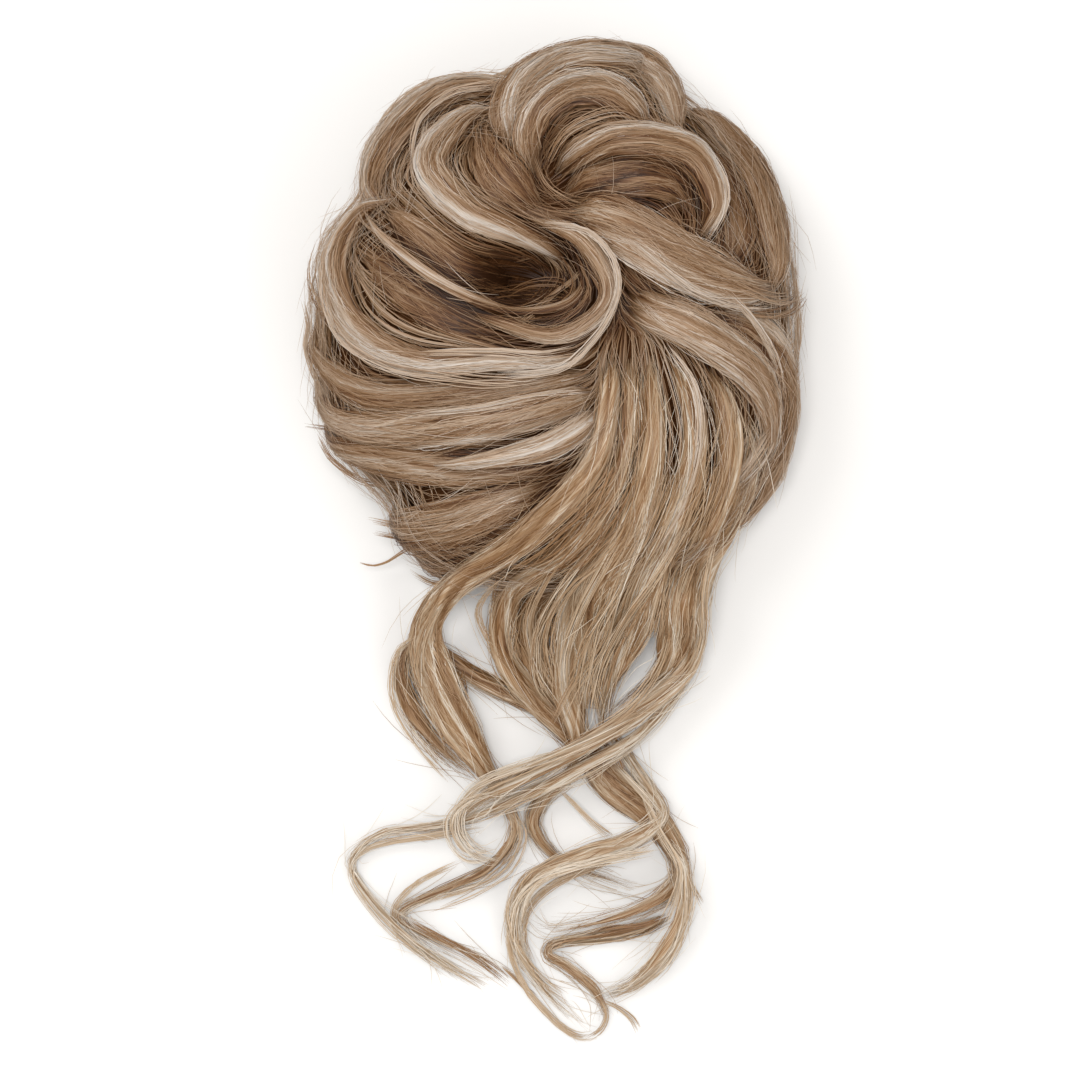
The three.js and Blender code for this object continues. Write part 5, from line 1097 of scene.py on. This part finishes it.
def fill_hair(n, lift_lo, lift_hi, layer_shade, steps, step, thick, hair, cross=0.0, on_top=False):
    ang = rng.uniform(0, 360, n)
    rad = np.sqrt(rng.uniform(0, 1, n)) * outline(ang) * 0.95
    start = np.stack([rad * np.cos(np.radians(ang)), rad * np.sin(np.radians(ang))], -1)
    line = streamlines(start, steps, step, rng.normal(0, cross, n) if cross else 0.0)
    k = line.shape[1]
    # lines that leave the bun are held at its rim
    a = np.degrees(np.arctan2(line[..., 1], line[..., 0]))
    R = outline(a) * 0.985
    r = np.hypot(line[..., 0], line[..., 1])
    line = line * np.minimum(1, R / np.maximum(r, 1e-6))[..., None]
    _, tone, lift = field(line.reshape(-1, 2))
    tone, lift = tone.reshape(n, k), lift.reshape(n, k)
    for _ in range(3):
        lift[:, 1:-1] = (lift[:, :-2] + 2 * lift[:, 1:-1] + lift[:, 2:]) / 4
    x, y = line[..., 0], line[..., 1]
    nrm = outward(x, y)
    if on_top:
        # over the locks' tops, evened out along the line
        i = np.clip(((x - GX[0]) / CELL).round().astype(int), 0, TOPS.shape[0] - 1)
        j = np.clip(((y - GY[0]) / CELL).round().astype(int), 0, TOPS.shape[1] - 1)
        z = np.maximum(TOPS[i, j], crown(x, y) - 4)
        for _ in range(4):
            z[:, 1:-1] = np.maximum(z[:, 1:-1], 0) * 0.5 + 0.25 * (z[:, :-2] + z[:, 2:])
        u = np.linspace(-1, 1, k)[None, :]
        path = np.stack([x, y, z + rng.uniform(lift_lo, lift_hi, n)[:, None] * (1 - u ** 2)], -1)
    else:
        lift = np.minimum(lift, 6) + rng.uniform(lift_lo, lift_hi, n)[:, None]
        path = np.stack([x, y, crown(x, y)], -1) + nrm * lift[..., None]
    path[..., 2] = np.maximum(path[..., 2], 0.4)
    u = np.linspace(0, 1, k)[None, :]
    width = rng.uniform(*thick, n)[:, None] * np.minimum(1, np.minimum(u, 1 - u) / 0.12 + 0.1)
    # the layer's own tone shift, deeper for the lower layers as painted shade, less the painted shade under the tops
    t = tone + layer_shade + rng.normal(0, 0.11, n)[:, None] - shadowed(path) * (0.5 if on_top else 1.0)
    hair.tubes(path, width, t, nrm)


SIDE_PROFILE = ([0, 3, 8, 14, 22, 28, 34], [0.76, 0.83, 0.90, 0.945, 0.965, 0.955, 0.93])


def side_hair(n, lo, hi, thick, tone, hair):
    """Hair wound round the side, from the surface it rests on up to the belt."""
    ang0 = rng.uniform(0, 360, n)
    span = rng.uniform(30, 75, n) * np.where(rng.random(n) < 0.5, 1, -1)
    k = 11
    u = np.linspace(0, 1, k)[None, :]
    ang = ang0[:, None] + span[:, None] * (u - 0.5)
    z = rng.uniform(0.8, 32.0, n)[:, None] + rng.normal(0, 2.6, n)[:, None] * (u - 0.5) * 2
    z = np.clip(z + 1.3 * wander(n, u.repeat(n, 0), 0.6), 0.6, 34)
    out = rng.uniform(lo, hi, n)[:, None]
    rad = np.radians(ang)
    r = outline(ang) * np.interp(z, *SIDE_PROFILE) + out
    path = np.stack([r * np.cos(rad), r * np.sin(rad), z], -1)
    nrm = unit(np.stack([np.cos(rad), np.sin(rad), np.full_like(rad, 0.1)], -1))
    width = rng.uniform(*thick, n)[:, None] * np.minimum(1, np.minimum(u, 1 - u) / 0.1 + 0.1)
    # hair that lies further in is deeper in tone: painted shade
    hair.tubes(path, width, tone + 0.05 * out + rng.normal(0, 0.11, n)[:, None] + 0 * u, nrm)


def rim_hair(n, hair):
    """Fine hairs that stand off the bun's outline."""
    k = 8
    u = np.linspace(0, 1, k)[None, :]
    ang = rng.uniform(0, 360, n)[:, None] + rng.uniform(8, 30, n)[:, None] * np.where(rng.random((n, 1)) < 0.5, 1, -1) * u
    z = rng.uniform(6, 44, n)[:, None] + rng.normal(0, 4, n)[:, None] * u
    z = np.maximum(z, 0.6)
    rho = np.clip(1 - ((z - 22) / 30) ** 2, 0.05, 1) ** 0.45
    base = outline(ang) * np.where(z > 22, np.minimum(rho, 0.985), np.interp(z, *SIDE_PROFILE))
    off = 1.0 + rng.gamma(1.5, 1.4, n)[:, None] * u ** 1.5
    r = base + np.minimum(off, 7.5)
    rad = np.radians(ang)
    path = np.stack([r * np.cos(rad), r * np.sin(rad), z + 0.4 * off * (z > 25)], -1)
    nrm = unit(np.stack([np.cos(rad), np.sin(rad), np.full_like(rad, 0.4)], -1))
    width = rng.uniform(0.07, 0.10, n)[:, None] * np.minimum(1, (1 - u) / 0.3 + 0.25)
    hair.tubes(path, width, 0.66 + rng.normal(0, 0.14, n)[:, None] + 0 * u, nrm)


def core_normals(v, n_outside):
    """Outwards over the bun, and towards the hollow underneath."""
    flat = unit(v * [1, 1, 0])
    up = np.clip((v[:, 2:3] - 14) / 14, 0, 1)
    n = unit(flat * (1 - up) + [0, 0, 1] * up)
    n[n_outside:] = unit(-flat[n_outside:] - [0, 0, 0.6])
    return n


def core_body(hair):
    """The inner bun, under every lock."""
    around = 90
    shares = [(0.74, 0.4), (0.80, 3), (0.86, 8), (0.90, 14), (0.90, 21)]
    tops = [0.88, 0.82, 0.74, 0.65, 0.55, 0.45, 0.35, 0.26, 0.18, 0.11, 0.05]
    ang = np.arange(around) * 360.0 / around
    rad = np.radians(ang)
    rings = []
    for s, z in shares:
        r = outline(ang) * s
        rings.append(np.stack([r * np.cos(rad), r * np.sin(rad), np.full(around, float(z))], -1))
    for s in tops:
        r = outline(ang) * s
        x, y = r * np.cos(rad), r * np.sin(rad)
        rings.append(np.stack([x, y, np.maximum(crown(x, y) - 6.5, 20.5)], -1))
    # the hollow underneath
    for r, z in ((21.0, 19.0), (24.0, 15.0), (25.0, 7.6), (34.4, 7.6), (34.4, 0.4)):
        rings.append(np.stack([r * np.cos(rad), r * np.sin(rad), np.full(around, z)], -1))
    top_n = len(shares) + len(tops)
    v = np.concatenate(rings)
    b = hair.n
    quads = []
    j = np.arange(around)
    j2 = (j + 1) % around

    def strip(i0, i1):
        quads.append(np.stack([b + i0 * around + j, b + i0 * around + j2,
                               b + i1 * around + j2, b + i1 * around + j], -1))

    for i in range(top_n - 1):
        strip(i, i + 1)
    for i in range(top_n, top_n + 4):
        strip(i, i + 1)
    strip(top_n + 4, 0)
    centre_top = len(v)
    v = np.vstack([v, [[0, 0, max(float(crown(np.array(0.0), np.array(0.0))) - 6.5, 20.5)], [0, 0, 19.0]]])
    hair.v.append(v)
    hair.nrm.append(core_normals(v, top_n * around))
    # near the deepest tone, deepest on top where it shows in the gaps between the locks: painted shade
    hair.tone.append(np.where(v[:, 2] > 20, 0.06, 0.14))
    turn = np.arctan2(v[:, 1], v[:, 0])
    hair.lie.append(np.stack([60 * np.abs(turn), v[:, 2] * 1.2 + 0.6 * np.hypot(v[:, 0], v[:, 1]), np.full(len(v), 1.0)], -1))
    f4 = np.concatenate(quads)
    hair.f4.append(f4)
    hair.uv4.append(np.tile(np.array([[0, 0], [0.1, 0], [0.1, 8], [0, 8]], float) + [0, hair.rows], (len(f4), 1)))
    last = b + (top_n - 1) * around
    cap1 = np.stack([last + j, last + j2, np.full(around, b + centre_top)], -1)
    low = b + top_n * around
    cap2 = np.stack([low + j2, low + j, np.full(around, b + centre_top + 1)], -1)
    hair.f3.append(np.vstack([cap1, cap2]))
    hair.uv3.append(np.tile(np.array([[0, 1], [0.1, 1], [0.1, 6]], float) + [0, hair.rows], (2 * around, 1)))
    hair.n += len(v)
    hair.rows += 8


core = Hair()
core_body(core)
# the lowest layer, under the locks, is 0.16 deeper in tone and its side hair deeper than the outer side hair: painted
# shade
fill_hair(300, -5.5, -3.0, -0.16, 5, 4.6, (0.22, 0.32), core)
side_hair(480, -2.5, 0.2, (0.2, 0.3), 0.46, core)
core.make("bun_core_hair", STRAND["hair_core"], ["bun_core"], "hair_core")

between = Hair()
# the middle layer is 0.06 deeper in tone: painted shade under the locks
fill_hair(1000, -3.0, 0.3, -0.06, 5, 4.2, (0.15, 0.24), between)
side_hair(350, 0.2, 1.6, (0.10, 0.16), 0.52, between)
between.make("hair_between", STRAND["hair_honey"], (), "hair_honey")

loose = Hair()
# hair over the tops is 0.02 paler and takes only half the painted shade
fill_hair(560, 0.0, 1.2, 0.02, 6, 3.8, (0.045, 0.07), loose, cross=0.22, on_top=True)
rim_hair(2000, loose)
loose.make("hair_loose", STRAND["hair_pale"], (), "hair_pale")
fine.make("hair_fine_locks", STRAND["hair_pale"], (), "hair_pale")
fine_free.make("hair_fine_falls", FREE_STRAND["hair_pale"], (), "hair_pale")
for (slot_name, where), hair in groups.items():
    made_of = (FREE_STRAND if where == "curls" else STRAND)[slot_name]
    hair.make("strands_" + where + "_" + slot_name[5:], made_of, (), slot_name)
    total["strands_" + where + "_" + slot_name[5:]] = hair.triangles()
for label, hair in (("core", core), ("between", between), ("loose", loose), ("fine", fine), ("fine_free", fine_free)):
    total[label] = hair.triangles()
print("triangles", sum(total.values()), total)

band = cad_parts["elastic_band"]
band.data.materials.clear()
band.data.materials.append(elastic_material())

# ---------------------------------------------------------------- floor and light
floor_mesh = bpy.data.meshes.new("floor")
half = 6.0
floor_mesh.from_pydata([(-half, -half, 0), (half, -half, 0), (half, half, 0), (-half, half, 0)], [], [(0, 1, 2, 3)])
floor = bpy.data.objects.new("floor", floor_mesh)
bpy.context.scene.collection.objects.link(floor)
floor_m, floor_nt, floor_p = node_material("floor_paper", 0.9)
floor_p.inputs["Base Color"].default_value = (0.71, 0.695, 0.677, 1)
floor_p.inputs["Specular IOR Level"].default_value = 0.1
floor_mesh.materials.append(floor_m)

world = bpy.data.worlds.new("studio")
world.use_nodes = True
world.node_tree.nodes["Background"].inputs["Color"].default_value = (1.0, 0.995, 0.985, 1)
world.node_tree.nodes["Background"].inputs["Strength"].default_value = 0.66
bpy.context.scene.world = world


def area(name, at, size, power, aim=(0.0, -0.06, 0.0)):
    d = bpy.data.lights.new(name, "AREA")
    d.shape = "DISK"
    d.size = size
    d.energy = power
    o = bpy.data.objects.new(name, d)
    o.location = at
    o.rotation_euler = (Vector(aim) - Vector(at)).to_track_quat("-Z", "Y").to_euler()
    bpy.context.scene.collection.objects.link(o)
    return o


area("key", (-1.05, 0.95, 1.6), 1.1, 16.0)
area("fill", (1.3, -0.6, 1.6), 1.2, 4.0)
area("over", (-0.12, 0.05, 2.2), 0.8, 30.0)
area("low", (0.7, -1.5, 0.7), 1.0, 8.0, (0.0, -0.12, 0.0))
bpy.context.scene.view_settings.view_transform = "Standard"
bpy.context.scene.view_settings.look = "None"
